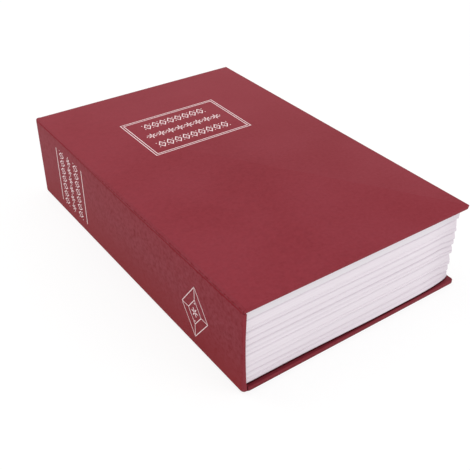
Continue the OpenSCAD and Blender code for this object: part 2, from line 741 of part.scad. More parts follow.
// Thumb slider with grip grooves across it
module thumb_slider() {
    size = slider_size;
    grooves = 4;
    pitch = size[0] / (grooves + 2);
    color([0.78, 0.79, 0.8]) translate([post_x, 0, slider_z]) difference() {
        union() {
            linear_extrude(0.7 * size[2])
                round_shape(-size[0] / 2, size[0] / 2, size[1] / 2, 1.2);
            linear_extrude(size[2])
                round_shape(0.4 - size[0] / 2, size[0] / 2 - 0.4, size[1] / 2 - 0.4, 0.8);
        }
        for (n = [0 : grooves - 1], side = [-1, 1])
            translate([(n - (grooves - 1) / 2) * pitch, side * (size[1] / 4 + screw_head_r / 2), size[2]])
                along_y(0, -(size[1] / 2 - screw_head_r) / 2 + 0.5, 0)
                    cylinder(r = 0.3 * pitch, h = size[1] / 2 - screw_head_r - 1, $fn = 24);
        translate([0, 0, -cut]) cylinder(r = screw_r + screw_fit, h = size[2] + 2 * cut);
        translate([0, 0, size[2] - screw_head_h]) cylinder(r = screw_head_r + screw_fit, h = screw_head_h + cut);
    }
}

module slider_rivet() {
    color([0.75, 0.76, 0.77]) translate([post_x, 0, slider_z + slider_size[2] - screw_head_h]) {
        translate([0, 0, -slider_pin_l]) cylinder(r = screw_r, h = slider_pin_l);
        cylinder(r = screw_head_r, h = 0.8 * screw_head_h);
    }
}

back_board();
spine_board();
case_wrap();
back_lining();
front_board();
front_wrap();
front_lining();
page_frame();
steel_box();
strike_plate();
box_hinge_leaf();
hinge_pin();
box_rivets();
lid_panel();
lid_hinge_leaf();
lid_rivets();
lock_housing();
lock_plate();
detent_spring();
face_screws();
plate_screws();
number_wheel_1();
number_wheel_2();
number_wheel_3();
code_sleeve_1();
code_sleeve_2();
code_sleeve_3();
lock_axle();
reset_lever();
bolt_plate();
thumb_slider();
slider_rivet();
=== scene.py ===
import json
import math
import bpy
import bmesh
from mathutils import Matrix, Vector


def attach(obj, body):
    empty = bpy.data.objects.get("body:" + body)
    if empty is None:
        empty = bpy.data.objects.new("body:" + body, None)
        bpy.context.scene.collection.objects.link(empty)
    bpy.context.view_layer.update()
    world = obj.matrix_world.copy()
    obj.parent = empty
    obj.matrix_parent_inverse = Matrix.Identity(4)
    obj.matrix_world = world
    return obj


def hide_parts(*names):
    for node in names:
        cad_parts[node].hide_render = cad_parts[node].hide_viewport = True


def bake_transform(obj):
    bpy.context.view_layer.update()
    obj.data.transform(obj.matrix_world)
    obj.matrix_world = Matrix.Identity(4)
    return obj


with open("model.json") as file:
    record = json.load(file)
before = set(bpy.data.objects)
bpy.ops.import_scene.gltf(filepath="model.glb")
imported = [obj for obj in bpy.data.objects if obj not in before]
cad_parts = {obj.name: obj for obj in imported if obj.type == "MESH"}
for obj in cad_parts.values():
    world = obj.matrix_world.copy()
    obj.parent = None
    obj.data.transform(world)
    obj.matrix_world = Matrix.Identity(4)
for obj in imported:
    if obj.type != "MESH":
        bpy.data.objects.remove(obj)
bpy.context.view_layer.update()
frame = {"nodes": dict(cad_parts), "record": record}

# Combination safe in the shape of a hardback book. Sizes in the dictionaries are in millimetres.
# X runs from the spine to the fore edge, Y from tail to head, Z upwards.
mm = 0.001
scene = bpy.context.scene
print("frame loaded,", len(frame["nodes"]), "CAD nodes")


def linear(hexText):
    parts = [int(hexText[i:i + 2], 16) / 255 for i in (1, 3, 5)]
    return [c / 12.92 if c <= 0.04045 else ((c + 0.055) / 1.055) ** 2.4 for c in parts] + [1]


def resolved(tree, value):
    # The output that a value stands for, where it is a node, an output or a product of two
    if isinstance(value, tuple) and any(isinstance(part, bpy.types.bpy_struct) for part in value):
        value = add(tree, "ShaderNodeMath", {"operation": "MULTIPLY", 0: value[0], 1: value[1]})
    return value.outputs[0] if isinstance(value, bpy.types.Node) else value


def fill(tree, node, values):
    # A value is a setting, an input's number or hex colour, or what the input is linked to: a
    # node, an output, or a pair of them that stands for their product. A list holds the parts of
    # a vector, or the links of an input that takes several.
    for name, value in values.items():
        if not isinstance(name, int) and name not in node.inputs:
            setattr(node, name, value)
            continue
        socket = node.inputs[name]
        parts = [resolved(tree, part) for part in (value if isinstance(value, list) else [value])]
        if any(isinstance(part, bpy.types.NodeSocket) for part in parts):
            if len(parts) > 1 and not socket.is_multi_input:
                parts = [add(tree, "ShaderNodeCombineXYZ", dict(enumerate(parts))).outputs[0]]
            for part in parts:
                tree.links.new(part, socket)
        else:
            socket.default_value = linear(value) if isinstance(value, str) else value


def add(tree, kind, values=None):
    node = tree.nodes.new(kind)
    fill(tree, node, values or {})
    return node


# Materials: a pattern of size s millimetres has the texture scale 1000 / s


def newPaint(name, colour, roughness, metallic=0.0, extra=None):
    paint = bpy.data.materials.new(name)
    paint.use_nodes = True
    tree = paint.node_tree
    shader = tree.nodes["Principled BSDF"]
    fill(tree, shader, {"Base Color": colour, "Roughness": roughness, "Metallic": metallic,
                        **(extra or {})})
    return paint, tree, shader


def limits(low, high, toLow, toHigh):
    return {"From Min": low, "From Max": high, "To Min": toLow, "To Max": toHigh}


def grain(tree, size, detail=2.0, stretch=(1, 1, 1), rough=0.5, between=None):
    # Noise in object space with blobs of the given size, drawn out along an axis by stretch
    place = add(tree, "ShaderNodeTexCoord").outputs["Object"]
    turned = add(tree, "ShaderNodeMapping",
                 {"Vector": place, "Scale": [1000 / size / s for s in stretch]})
    noise = add(tree, "ShaderNodeTexNoise",
                {"Vector": turned, "Scale": 1.0, "Detail": detail, "Roughness": rough})
    if between is None:
        return noise
    return add(tree, "ShaderNodeMapRange", {"Value": noise, **limits(*between)})


def along(tree, axis, low, high, toLow, toHigh):
    # A value that changes evenly between two places on an axis of the object
    place = add(tree, "ShaderNodeTexCoord").outputs["Object"]
    height = add(tree, "ShaderNodeSeparateXYZ", {0: place}).outputs[axis]
    return add(tree, "ShaderNodeMapRange",
               {"Value": height, **limits(low * mm, high * mm, toLow, toHigh)})


def layered(tree, colour, *layers):
    # Lays colours over the first one, each by its share
    for share, upper in layers:
        colour = add(tree, "ShaderNodeMix",
                     {"data_type": "RGBA", 0: share, 6: colour, 7: upper}).outputs[2]
    return colour


# Printed covering paper with a fine embossed grain: even red, low sheen; edges lighter, partly rubbed
# and partly a painted highlight
coverLook = {"dark": "#7E222C", "light": "#8B333E", "spineDark": "#7F1823", "spineLight": "#913944",
             "foot": "#880B18", "paintedSheen": "#98333F", "rubbedAndHighlit": "#94333E", "crease": "#880A1E",
             "deep": "#5E1B25", "mottle": 1.4, "paintedSpineGrain": 1.5, "cloud": 34.0, "wear": 3,
             "grain": 0.55, "depth": 0.025, "roughness": 0.58}


def makeCoverPaper(name, withCrease):
    look = coverLook
    paint, tree, shader = newPaint(name, look["dark"], look["roughness"],
                                   extra={"IOR": 1.47, "Specular IOR Level": 0.14})
    mottle = grain(tree, look["mottle"], 4, between=(0.3, 0.7, 0, 0.5))
    cloud = grain(tree, look["cloud"], 2, between=(0.35, 0.65, 0, 0.5))
    tone = add(tree, "ShaderNodeMath", {"operation": "ADD", 0: mottle, 1: cloud})
    # The spine's mottle is stronger, a painted shading of its grain where light falls across it; the
    # paper is deeper at its foot
    spine = along(tree, "X", -58.9, -58.6, 1, 0)
    spineGrainMask = grain(tree, look["paintedSpineGrain"], 4, between=(0.34, 0.66, 0, 1))
    paintedSpineGrain = layered(tree, look["spineDark"], (spineGrainMask, look["spineLight"]))
    foot = (spine, along(tree, "Z", 4, 24, 1, 0))
    # Painted sheen: a little lighter towards the head and the fore edge, where the lights' reflection
    # falls
    paintedSheen = add(tree, "ShaderNodeMath", {"operation": "ADD", 0: along(tree, "X", 0, 50, 0, 0.2),
                                         1: along(tree, "Y", -10, 60, 0, 0.25)})
    red = layered(tree, look["dark"], (tone, look["light"]), (spine, paintedSpineGrain),
                  (foot, look["foot"]), (paintedSheen, look["paintedSheen"]))
    if withCrease:
        # Painted shade: the fold is darker along its crease
        crease = add(tree, "ShaderNodeAttribute", {"attribute_name": "crease"}).outputs["Fac"]
        red = layered(tree, red, (crease, look["crease"]))
    else:
        # The ledge mark: painted shade round the page block
        edge, deep = (add(tree, "ShaderNodeAttribute", {"attribute_name": label}).outputs["Fac"]
                      for label in ("edge", "deep"))
        # Edges lighter where the edge mark is: partly rubbed wear, partly a painted highlight
        wear = grain(tree, look["wear"], 3, between=(0.3, 0.7, 0.15, 0.6))
        red = layered(tree, red, ((edge, wear), look["rubbedAndHighlit"]), (deep, look["deep"]))
    # Embossing of about 0.3 mm, drawn a little coarser so that it shows
    embossing = add(tree, "ShaderNodeBump", {"Strength": 1.0, "Distance": look["depth"] * mm,
                                             "Height": grain(tree, look["grain"], 3)})
    fill(tree, shader, {"Base Color": red, "Normal": embossing})
    return paint


coverPaper = makeCoverPaper("coverPaper", False)
foldPaper = makeCoverPaper("foldPaper", True)

# Injection-moulded polystyrene, pale lilac white: soft gloss, lines of leaves across its ridges
pageLook = {"light": "#F1E9F0", "dark": "#E9E0E8", "slab": "#E8E4E9", "seam": "#BDB0BB",
            "line": 0.42, "length": 70.0, "slabZ": 35.3, "slabBlend": 0.15, "roughness": 0.5,
            "depth": 0.012}


def makePagePlastic():
    look = pageLook
    paint, tree, shader = newPaint("mouldedPolystyrene", look["light"], look["roughness"],
                                   extra={"IOR": 1.59, "Specular IOR Level": 0.4})
    stretch = look["length"] / look["line"]
    # Real leaves are 0.1 mm thick; the lines are drawn at about 0.4 mm so that they show
    lines = grain(tree, look["line"], 3, (stretch, stretch, 1), 0.65)
    leaves = add(tree, "ShaderNodeMapRange", {"Value": lines, **limits(0.3, 0.62, 0, 1)})
    slab = along(tree, "Z", look["slabZ"] - look["slabBlend"], look["slabZ"] + look["slabBlend"],
                 0, 0.75)
    # Painted shade from the shade mark: darker in the gaps between bundles of leaves, at the block's
    # foot and towards its fore corner
    seam = add(tree, "ShaderNodeAttribute", {"attribute_name": "seam"}).outputs["Fac"]
    shade = layered(tree, look["dark"], (leaves, look["light"]), (slab, look["slab"]),
                    (seam, look["seam"]))
    relief = add(tree, "ShaderNodeBump",
                 {"Strength": 0.6, "Distance": look["depth"] * mm, "Height": lines})
    fill(tree, shader, {"Base Color": shade, "Normal": relief})
    return paint


pagePlastic = makePagePlastic()


# A plain surface: one colour that wanders between two tones, and a fine relief
def makeFinish(name, dark, light, roughness, metallic, toneSize, bumpSize, depth, extra=None,
               stretch=(1, 1, 1), roughSpread=0.0):
    paint, tree, shader = newPaint(name, light, roughness, metallic, extra)
    tone = grain(tree, toneSize, 3, between=(0.3, 0.7, 0, 1))
    relief = add(tree, "ShaderNodeBump", {"Strength": 1.0, "Distance": depth * mm,
                                          "Height": grain(tree, bumpSize, 2, stretch)})
    fill(tree, shader, {"Base Color": layered(tree, dark, (tone, light)), "Normal": relief})
    if roughSpread:
        fill(tree, shader, {"Roughness": grain(tree, toneSize * 0.6, 2, between=(
            0.3, 0.7, roughness - roughSpread, roughness + roughSpread))})
    return paint


# Uncoated lining paper in a dark wine red, the tone of the shadow at the page block's foot, which it
# paints where the back lining shows: fibres break up its surface, nearly no gloss
shadowTonedLining = makeFinish("shadowTonedLiningPaper", "#3A0B13", "#471019", 0.85, 0, 2.2, 0.5, 0.03,
                         {"IOR": 1.45, "Specular IOR Level": 0.12})
# Polyester powder coat on deep-drawn steel: orange peel of about 0.6 mm, satin
powderCoat = makeFinish("powderCoat", "#18181A", "#252527", 0.46, 0, 9, 0.6, 0.03, {"IOR": 1.5},
                        roughSpread=0.06)
# Bright zinc plating on steel: cool grey with faint clouds
zincPlate = makeFinish("zincPlate", "#A9ADB3", "#C6C9CE", 0.34, 1, 5, 0.35, 0.008, roughSpread=0.08)
# Zinc die casting, blasted and plated with satin nickel: fine even texture, soft highlights
satinNickel = makeFinish("satinNickel", "#B9B8B5", "#CFCECB", 0.3, 1, 7, 0.22, 0.01,
                         roughSpread=0.05)
# Hardened spring steel, cold rolled: darker, with rolling lines along the strip
springSteel = makeFinish("springSteel", "#8C8A86", "#A8A6A1", 0.28, 1, 3, 0.3, 0.006,
                         stretch=(1, 20, 1))
# Turned brass: warm yellow, fine tool marks round the axle
turnedBrass = makeFinish("turnedBrass", "#B48E45", "#CDA85A", 0.27, 1, 3, 0.2, 0.006)
# Glossy moulded ABS of the number wheels
wheelPlastic = makeFinish("blackAbs", "#0E0E10", "#161618", 0.27, 0, 4, 0.5, 0.008, {"IOR": 1.54})
# White pad-printing ink in the numerals
padInk = makeFinish("whiteInk", "#DCDCD6", "#F1F1EC", 0.5, 0, 0.8, 0.2, 0.004, {"IOR": 1.5})
# Hot-stamped silver foil on the grained paper: thin metal film, a little broken by the grain
silverFoil = makeFinish("stampedFoil", "#F0D2D4", "#FFEBEC", 0.42, 0.15, 0.7, 0.5, 0.02)
print("materials made")

# Helpers for meshes


def smoothMesh(mesh, sharp):
    work = bmesh.new()
    work.from_mesh(mesh)
    bmesh.ops.remove_doubles(work, verts=work.verts, dist=1e-7)
    bmesh.ops.recalc_face_normals(work, faces=work.faces)
    work.to_mesh(mesh)
    work.free()
    mesh.polygons.foreach_set("use_smooth", [True] * len(mesh.polygons))
    mesh.set_sharp_from_angle(angle=math.radians(sharp))


def mark(mesh, name, values):
    mesh.attributes.new(name, "FLOAT", "POINT").data.foreach_set("value", values)


def solidMesh(name, solids, marks=None):
    # Solids are lists of points in millimetres with their faces; marks are values of the points
    points, faces = [], []
    for corners, sides in solids:
        start = len(points)
        points += [(x * mm, y * mm, z * mm) for x, y, z in corners]
        faces += [[start + i for i in side] for side in sides]
    mesh = bpy.data.meshes.new(name)
    mesh.from_pydata(points, [], faces)
    for label, values in (marks or {}).items():
        mark(mesh, label, values + [0.0] * (len(points) - len(values)))
    return mesh


def newObject(name, data):
    made = bpy.data.objects.new(name, data)
    scene.collection.objects.link(made)
    return made


def paintWith(mesh, paint):
    mesh.materials.clear()
    mesh.materials.append(paint)


def newPiece(name, mesh, paint, sharp):
    paintWith(mesh, paint)
    smoothMesh(mesh, sharp)
    return newObject(name, mesh)


def ringSolid(rings, loop=False):
    # Joins rings of points one to the next, closed by a face at each end or round in a loop
    size = len(rings[0])
    count = len(rings)
    points = [p for ring in rings for p in ring]
    faces = []
    for r in range(count if loop else count - 1):
        for i in range(size):
            j, s = (i + 1) % size, (r + 1) % count
            faces.append((r * size + i, r * size + j, s * size + j, s * size + i))
    if not loop:
        faces += [list(range(size))[::-1], list(range((count - 1) * size, count * size))]
    return points, faces


def arc(cx, cy, r, start, end, steps):
    turns = [math.radians(start + (end - start) * n / steps) for n in range(steps + 1)]
    return [(cx + r * math.cos(a), cy + r * math.sin(a)) for a in turns]


def leafOutline(x0, x1, halfY, r, steps=8, head=0.02):
    # Square corners at the spine, though the head one may be worn, and round ones at the fore edge
    return ([(x0, -halfY)] + arc(x1 - r, r - halfY, r, -90, 0, steps)
            + arc(x1 - r, halfY - r, r, 0, 90, steps)
            + arc(x0 + head, halfY - head, head, 90, 180, 4))


def edgeSteps(z0, z1, rLow, rHigh, steps=4):
    # Pairs of inset and height that round the lower and the upper edge of a plate
    turns = [math.pi / 2 * n / steps for n in range(steps + 1)]
    low = [(rLow - rLow * math.cos(a), z0 + rLow - rLow * math.sin(a)) for a in turns[::-1]]
    return low + [(rHigh - rHigh * math.cos(a), z1 - rHigh + rHigh * math.sin(a)) for a in turns]


def block(x0, x1, y0, y1, z0, z1):
    return ringSolid([[(x0, y0, z), (x1, y0, z), (x1, y1, z), (x0, y1, z)] for z in (z0, z1)])


def markAngles(piece, name, full):
    # Stores how sharply the surface turns at each point, for wear and a painted highlight along the
    # edges
    work = bmesh.new()
    work.from_mesh(piece.data)
    values = []
    for vert in work.verts:
        normals = [face.normal for face in vert.link_faces]
        turn = max([a.angle(b, 0) for a in normals for b in normals] or [0])
        values.append(min(1.0, math.degrees(turn) / full))
    work.free()
    mark(piece.data, name, values)


def clamp(t):
    return min(1, max(0, t))


def ease(t):
    t = clamp(t)
    return t * t * (3 - 2 * t)


# Case and cover
case = {"spineX": -59, "foreX": 59, "endY": 90, "top": 42, "board": 2.1, "spineBoard": 2.3,
        "spineTop": 39.8, "foreCorner": 1.4, "edgeR": 0.45, "endR": 0.22, "footR": (0.8, 2.2),
        "skin": 0.02, "sheet": 0.26, "sheetTop": 39.95, "slit": 0.7, "slitZ": 0.6, "dropR": 1.1,
        "dropX": -55.6, "dropReach": 1.5, "cornerR": 1.6, "cornerTop": 6, "headR": 2.0,
        "wornReach": 4, "footX": (-55.5, -54.2, -52.8, -51.5, -48),
        "spineZ": (6, 13, 20, 27, 34),
        "fromEnd": (0.5, 0.7, 0.9, 1.15, 1.4, 2, 3, 8, 20, 40, 62, 90)}
spineForm = {"middle": 20, "reach": 19, "hollow": 0.35, "leanFrom": 5, "leanOver": 20, "lean": 0.5}


def hollow(z):
    # The spine is a little thinner at half its height and above, and the page block follows it
    form = spineForm
    waist = form["hollow"] * max(0, 1 - ((z - form["middle"]) / form["reach"]) ** 2)
    return waist + form["lean"] * clamp((z - form["leanFrom"]) / form["leanOver"])


def caseSection(y, inset, foreX):
    # The back cover and the spine in one L. Its foot is worn rounder towards the tail.
    x0, x1 = case["spineX"] + case["skin"] + inset, foreX - inset
    z0, plate, top = inset, case["board"] - inset, case["spineTop"] - inset
    inner = case["spineX"] + case["spineBoard"] - inset
    least, most = case["footR"]
    r = least + (most - least) * (0.5 - 0.5 * y / case["endY"]) ** 1.5 - inset
    fine = max(case["edgeR"] - inset, 0.02)
    slitX, sheetX = inner + case["slit"], x0 + case["sheet"]
    flat = arc(x0 + r, z0 + r, r, 180, 270, 7)
    flat += [(x, z0) for x in case["footX"]]
    flat += arc(x1 - fine, z0 + fine, fine, -90, 0, 4)
    flat += arc(x1 - fine, plate - fine, fine, 0, 90, 4)
    flat += [(slitX, plate), (slitX, case["slitZ"]), (inner, case["slitZ"])]
    flat += [(inner - hollow(z), z) for z in case["spineZ"]]
    flat += arc(inner - hollow(top) - fine, top - fine, fine, 0, 90, 4)
    flat += [(sheetX, top), (sheetX, case["sheetTop"]), (x0, case["sheetTop"])]
    return [(x, y, z) for x, z in flat]


def roundIn(r, distance):
    # How far a quarter circle of radius r draws in at a distance from where it ends
    gone = max(0, r - max(0, distance))
    return r - math.sqrt(max(0, r * r - gone * gone))


def nearSpine(x):
    return max(0, 1 - (x - case["spineX"]) / case["wornReach"])


def headWear(x, y):
    # The head end of the spine is worn round
    return roundIn(case["headR"], case["endY"] - y) * nearSpine(x)


turns = [math.pi / 2 * n / 5 for n in range(6)]
endSteps = [(case["endR"] * (1 - math.cos(a)), case["endR"] * (1 - math.sin(a))) for a in turns]
endSteps += [(distance, 0) for distance in case["fromEnd"]]
endPlaces = [(-case["endY"] + distance, inset, distance) for distance, inset in endSteps]
endPlaces += [(-y, inset, distance) for y, inset, distance in endPlaces[-2::-1]]
rings = [caseSection(y, inset, case["foreX"] - roundIn(case["foreCorner"], distance + 0.05))
         for y, inset, distance in endPlaces]
caseCover = newPiece("caseCover", solidMesh("caseCover", [ringSolid(rings)]), coverPaper, 20)
# The foot of the spine is rounded where it has stood on a shelf
for vert in caseCover.data.vertices:
    x, y, z = (part / mm for part in vert.co)
    if z < case["dropR"]:
        near = clamp((case["dropX"] - x) / case["dropReach"])
        vert.co.y -= math.copysign(near * roundIn(case["dropR"], z), y) * mm
    if z < case["cornerTop"]:
        vert.co.x += (roundIn(case["cornerR"], case["endY"] - abs(y)) * nearSpine(x)
                      * (1 - z / case["cornerTop"]) ** 2 * mm)
    vert.co.x += headWear(x, y) * mm
markAngles(caseCover, "edge", 30)
# Painted shade: the ledge round the page block and the edge below it are darker, as in the shade under
# the block
ledge = {"x": -56.6, "from": 0.15, "over": 0.25, "near": 0.05, "edge": 0.3, "more": 0.2}
deep = []
for vert in caseCover.data.vertices:
    x, y, z = (part / mm for part in vert.co)
    share = clamp((case["endY"] - abs(y) - ledge["from"]) / ledge["over"])
    if z <= case["board"] - ledge["near"]:
        share = 0
    inside = x > ledge["x"] and z < case["board"] + ledge["near"]
    deep.append(ledge["edge"] + ledge["more"] * share if inside else 0.0)
mark(caseCover.data, "deep", deep)
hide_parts("case_wrap", "back_board", "spine_board")
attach(caseCover, "case")

front = {"spineX": -58.6, "lowR": 0.55, "corner": (0.45, 1.1), "foldedFrom": 0.3,
         "foldedOver": 1.2, "headR": 1.4}
frontRings = []
for inset, z in edgeSteps(case["top"] - case["board"], case["top"] - case["skin"], front["lowR"],
                          case["edgeR"]):
    # Its fore corners are sharp above and drawn in below, where the paper is folded over
    sharpR, foldedR = front["corner"]
    folded = clamp((case["top"] - front["foldedFrom"] - z) / front["foldedOver"])
    outline = leafOutline(front["spineX"], case["foreX"] - inset, case["endY"] - inset,
                          sharpR + (foldedR - sharpR) * folded, head=front["headR"])
    frontRings.append([(x, y, z) for x, y in outline])
frontMesh = solidMesh("frontCover", [ringSolid(frontRings)])
frontCover = newPiece("frontCover", frontMesh, coverPaper, 20)
markAngles(frontCover, "edge", 30)
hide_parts("front_wrap", "front_board")
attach(frontCover, "cover")

# The covering paper where it folds from the spine to the front cover
fold = {"low": 39.7, "step": 0.13, "steps": 15, "r": 0.35, "lip": (0.42, 0.7, 1.5), "thick": 0.22,
        "thinFrom": 0.1, "thinOver": 0.5, "creaseGain": 1.7, "capAt": 0.6, "capIn": 0.05, "capY": 0.02,
        "creaseTail": 1.35, "creaseHead": 0.36, "creaseFrom": 70, "creaseOver": 92, "wide": 0.6,
        "groove": 0.07, "stations": 40, "endInset": 0.3,
        "headStations": (2.1, 1.6, 1.2, 0.85, 0.55, 0.3, 0.1)}
foldTop = case["top"] - fold["r"]
foldPath = [(case["spineX"], fold["low"] + fold["step"] * n) for n in range(fold["steps"])]
foldPath += [(case["spineX"], foldTop)]
foldPath += arc(case["spineX"] + fold["r"], foldTop, fold["r"], 180, 90, 6)[1:]
foldPath += [(case["spineX"] + away, case["top"]) for away in fold["lip"]]
inner = []
for x, z in foldPath:
    side = min(1, (case["top"] - z + fold["thinFrom"]) / fold["thinOver"]) if z < case["top"] else 0
    inner.append((x + fold["thick"] * side,
                  z - fold["thick"] * min(1, (x - case["spineX"]) / fold["r"])))
section = foldPath + inner[::-1]


def creaseAt(y, x, z):
    # The crease runs down the spine a little, more towards the tail
    fall = ease((fold["creaseFrom"] - y) / fold["creaseOver"])
    depth = fold["creaseHead"] + (fold["creaseTail"] - fold["creaseHead"]) * fall
    near = 1 - abs((case["top"] - z) - (x - case["spineX"]) - depth) / fold["wide"]
    return min(1.0, fold["creaseGain"] * max(0.0, near))


halfway = fold["stations"] / 2
foldPlaces = [(case["endY"] - fold["endInset"]) * (n / halfway - 1)
              for n in range(fold["stations"])]
foldPlaces += [case["endY"] - away for away in fold["headStations"]]
foldRings = [[(x + fold["groove"] * creaseAt(y, x, z) + headWear(x, y), y, z) for x, z in section]
             for y in foldPlaces]
creases = [creaseAt(y, x, z) for y in foldPlaces for x, z in section]
# Both ends are drawn in a little round the middle of the fold
midX, midZ = case["spineX"] + fold["capAt"], case["top"] - fold["capAt"]
capY = case["endY"] - fold["capY"]
for place, y in ((0, -capY), (len(foldRings), capY)):
    foldRings.insert(place, [(x + (midX - x) * fold["capIn"] + headWear(x, y), y,
                              z + (midZ - z) * fold["capIn"]) for x, z in section])
creases = [0.0] * len(section) + creases + [0.0] * len(section)
foldMesh = solidMesh("foldStrip", [ringSolid(foldRings)], {"crease": creases})
foldStrip = newPiece("foldStrip", foldMesh, foldPaper, 35)
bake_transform(foldStrip)

# Lining paper inside the front cover
lining = {"spineX": -56.5, "z": 39.9, "margin": 1.0, "thick": 0.2, "hem": 12.6, "drop": 0.12,
          "slope": 0.7, "r": 1.5}
under = lining["z"] - lining["thick"]
liningRows = []
for inset, z in ((lining["margin"], lining["z"]), (lining["margin"], under), (lining["hem"], under),
                 (lining["hem"] + lining["slope"], under + lining["drop"])):
    outline = leafOutline(lining["spineX"] + 0.02 * inset, case["foreX"] - inset,
                          case["endY"] - inset, lining["r"])
    liningRows.append([(x, y, z) for x, y in outline])
frontLining = newPiece("frontLining", solidMesh("frontLining", [ringSolid(liningRows)]),
                       shadowTonedLining, 20)
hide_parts("front_lining")
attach(frontLining, "cover")
print("case and cover made")

# Page block
pages = {"spineX": -56.35, "foreX": 58.35, "endY": 88.85, "low": 3.1, "rim": 39.5, "bowR": 264,
         "bow": 5.47, "cornerR": 1.5, "openX": 49.2, "openY": 79.7, "openR": 5, "wall": 2.2,
         "moulding": 1.5, "groove": 0.8, "wander": 0.06, "stand": 0.26, "flare": 0.95,
         "flareTop": 7.75, "lap": 0.17, "droop": 1.6, "inset": 0.4, "footShade": 0.24,
         "footShadeTop": 3.2, "endShade": 0.3, "lift": 0.75,
         "steps": (16, 10, 12, 10)}
# Where a change along the block's outline starts, from its tail corner at the spine, and its length
changes = {"flare": (20, 55), "flareBack": (110, 6), "corner": (103, 11), "foreEdge": (118, 20),
           "shade": (92, 22), "lift": (0, 80)}
seams = [  # height and strength of each gap between two bundles of leaves
    (4.9, 0.3), (7.55, 0.75), (11.45, 0.72), (13.1, 0.35), (17.45, 0.85), (19.3, 0.45),
    (22.1, 1.05), (25.05, 0.68), (28.85, 0.95), (30.6, 0.3), (35.15, 1.2)]
seamShape = [  # height from the gap, share of its depth, shade
    (-1.1, 0.08, 0), (-0.7, 0.2, 0.15), (-0.38, 0.45, 0.35), (-0.15, 0.75, 0.5), (0, 1, 0.6),
    (0.12, 0.62, 0.5), (0.3, 0.24, 0.3), (0.6, 0.05, 0.12), (1.0, 0, 0)]
slabZ = seams[-1][0]


def pageStations():
    # Stations from the tail side of the spine round to the middle of the fore edge: a point of
    # the outer face with its direction, and the matching point of the opening with its direction
    endY, openY, openR = pages["endY"], pages["openY"], pages["openR"]
    bowR, cornerR, bow = pages["bowR"], pages["cornerR"], math.radians(pages["bow"])
    bowX = pages["foreX"] - bowR * math.sin(bow) - cornerR * (1 - math.sin(bow))
    ix, iy = pages["openX"] - openR, openR - openY
    flatSteps, bowSteps, cornerSteps, foreSteps = pages["steps"]
    found = []
    for n in range(flatSteps + 1):
        x = pages["spineX"] + (bowX - pages["spineX"]) * n / flatSteps
        found.append(((x, -endY), 0, (x, -openY), 0))
    for n in range(1, bowSteps):
        turn = bow * n / bowSteps
        outer = (bowX + bowR * math.sin(turn), -endY + bowR * (1 - math.cos(turn)))
        found.append((outer, turn, (bowX + (ix - bowX) * n / bowSteps, -openY), 0))
    cx = pages["foreX"] - cornerR
    cy = -endY + bowR * (1 - math.cos(bow)) + cornerR * math.cos(bow)
    for n in range(cornerSteps + 1):
        turn = bow + (math.pi / 2 - bow) * n / cornerSteps
        bend = math.pi / 2 * n / cornerSteps
        outer = (cx + cornerR * math.sin(turn), cy - cornerR * math.cos(turn))
        inside = (ix + openR * math.sin(bend), iy - openR * math.cos(bend))
        found.append((outer, turn, inside, bend))
    for n in range(1, foreSteps + 1):
        rest = 1 - n / foreSteps
        found.append(((pages["foreX"], cy * rest), math.pi / 2,
                      (pages["openX"], iy * rest), math.pi / 2))
    return found


def change(name, distance):
    start, length = changes[name]
    return ease((distance - start) / length)


def footFlare(distance):
    # The lowest leaves spread towards the fore edge and come back at its corner
    return pages["flare"] * change("flare", distance) * (1 - change("flareBack", distance))


def atCorner(distance):
    # 1 at the fore corner of the block, less along the fore edge
    return change("corner", distance) * (1 - 0.6 * change("foreEdge", distance))


def endShade(distance):
    return (pages["endShade"] * change("shade", distance)
            * (1 - 0.7 * change("foreEdge", distance)))


def cornerInset(distance, z):
    low = pages["inset"] * ease((11 - z) / 7) - 0.05
    return atCorner(distance) * (pages["inset"] if z > slabZ - 1 else low)


def seamHeight(n, distance):
    # The gaps lie higher at the spine, sink at the fore corner and wander a little
    z = seams[n][0]
    lift = pages["lift"] * (1 - z / 36) * (0.55 - change("lift", distance))
    droop = (pages["droop"] * atCorner(distance) * (0.7 + 0.3 * ease((30 - z) / 5))
             * min(1, (z - 3.5) / 5))
    waves = math.sin(distance / 21 + 2.3 * n) + 0.6 * math.sin(distance / 7.3 + n)
    return z + lift - droop + pages["wander"] * waves


def pageProfile(distance):
    # Depth, height and shade of the outer face. Each bundle leans out towards its foot.
    low, flareHeight = pages["low"], pages["flareTop"] - pages["low"]
    flat = [(d + pages["stand"], low + z, 0) for d, z in ((0.12, 0), (0.02, 0.1), (0, 0.4))]
    heights = [seamHeight(n, distance) for n in range(len(seams))]
    feet = [low] + [z for z, (place, strength) in zip(heights, seams) if strength > 0.65]
    lap = pages["lap"] * (0.08 + 0.92 * atCorner(distance))
    bounds = [low] + [z for z, strength in seams] + [pages["rim"] + 2]
    for n, (place, strength) in enumerate(seams):
        depth = pages["groove"] * strength * (1 + 0.2 * math.sin(distance / 27 + 1.9 * n))
        stand = pages["stand"] * (1 + 0.4 * math.sin(distance / 33 + 2.7 * n))
        for offset, share, shade in seamShape:
            room = bounds[n + 1] - bounds[n] if offset < 0 else bounds[n + 2] - bounds[n + 1]
            z = heights[n] + offset * min(1, room / 2.6)
            foot = max(f for f in feet if f <= z - 0.02 or f == low)
            lean = 0 if place == slabZ and offset > 0 else stand + lap * (z - foot)
            flat.append((share * depth + lean, z, shade * min(1, strength)))
    flare = footFlare(distance)
    return [(d - flare * (1 - min(1, (z - low) / flareHeight)) ** 1.6 + cornerInset(distance, z), z,
             shade + pages["footShade"] * max(0, 1 - (z - low) / pages["footShadeTop"])
             + endShade(distance)) for d, z, shade in flat]


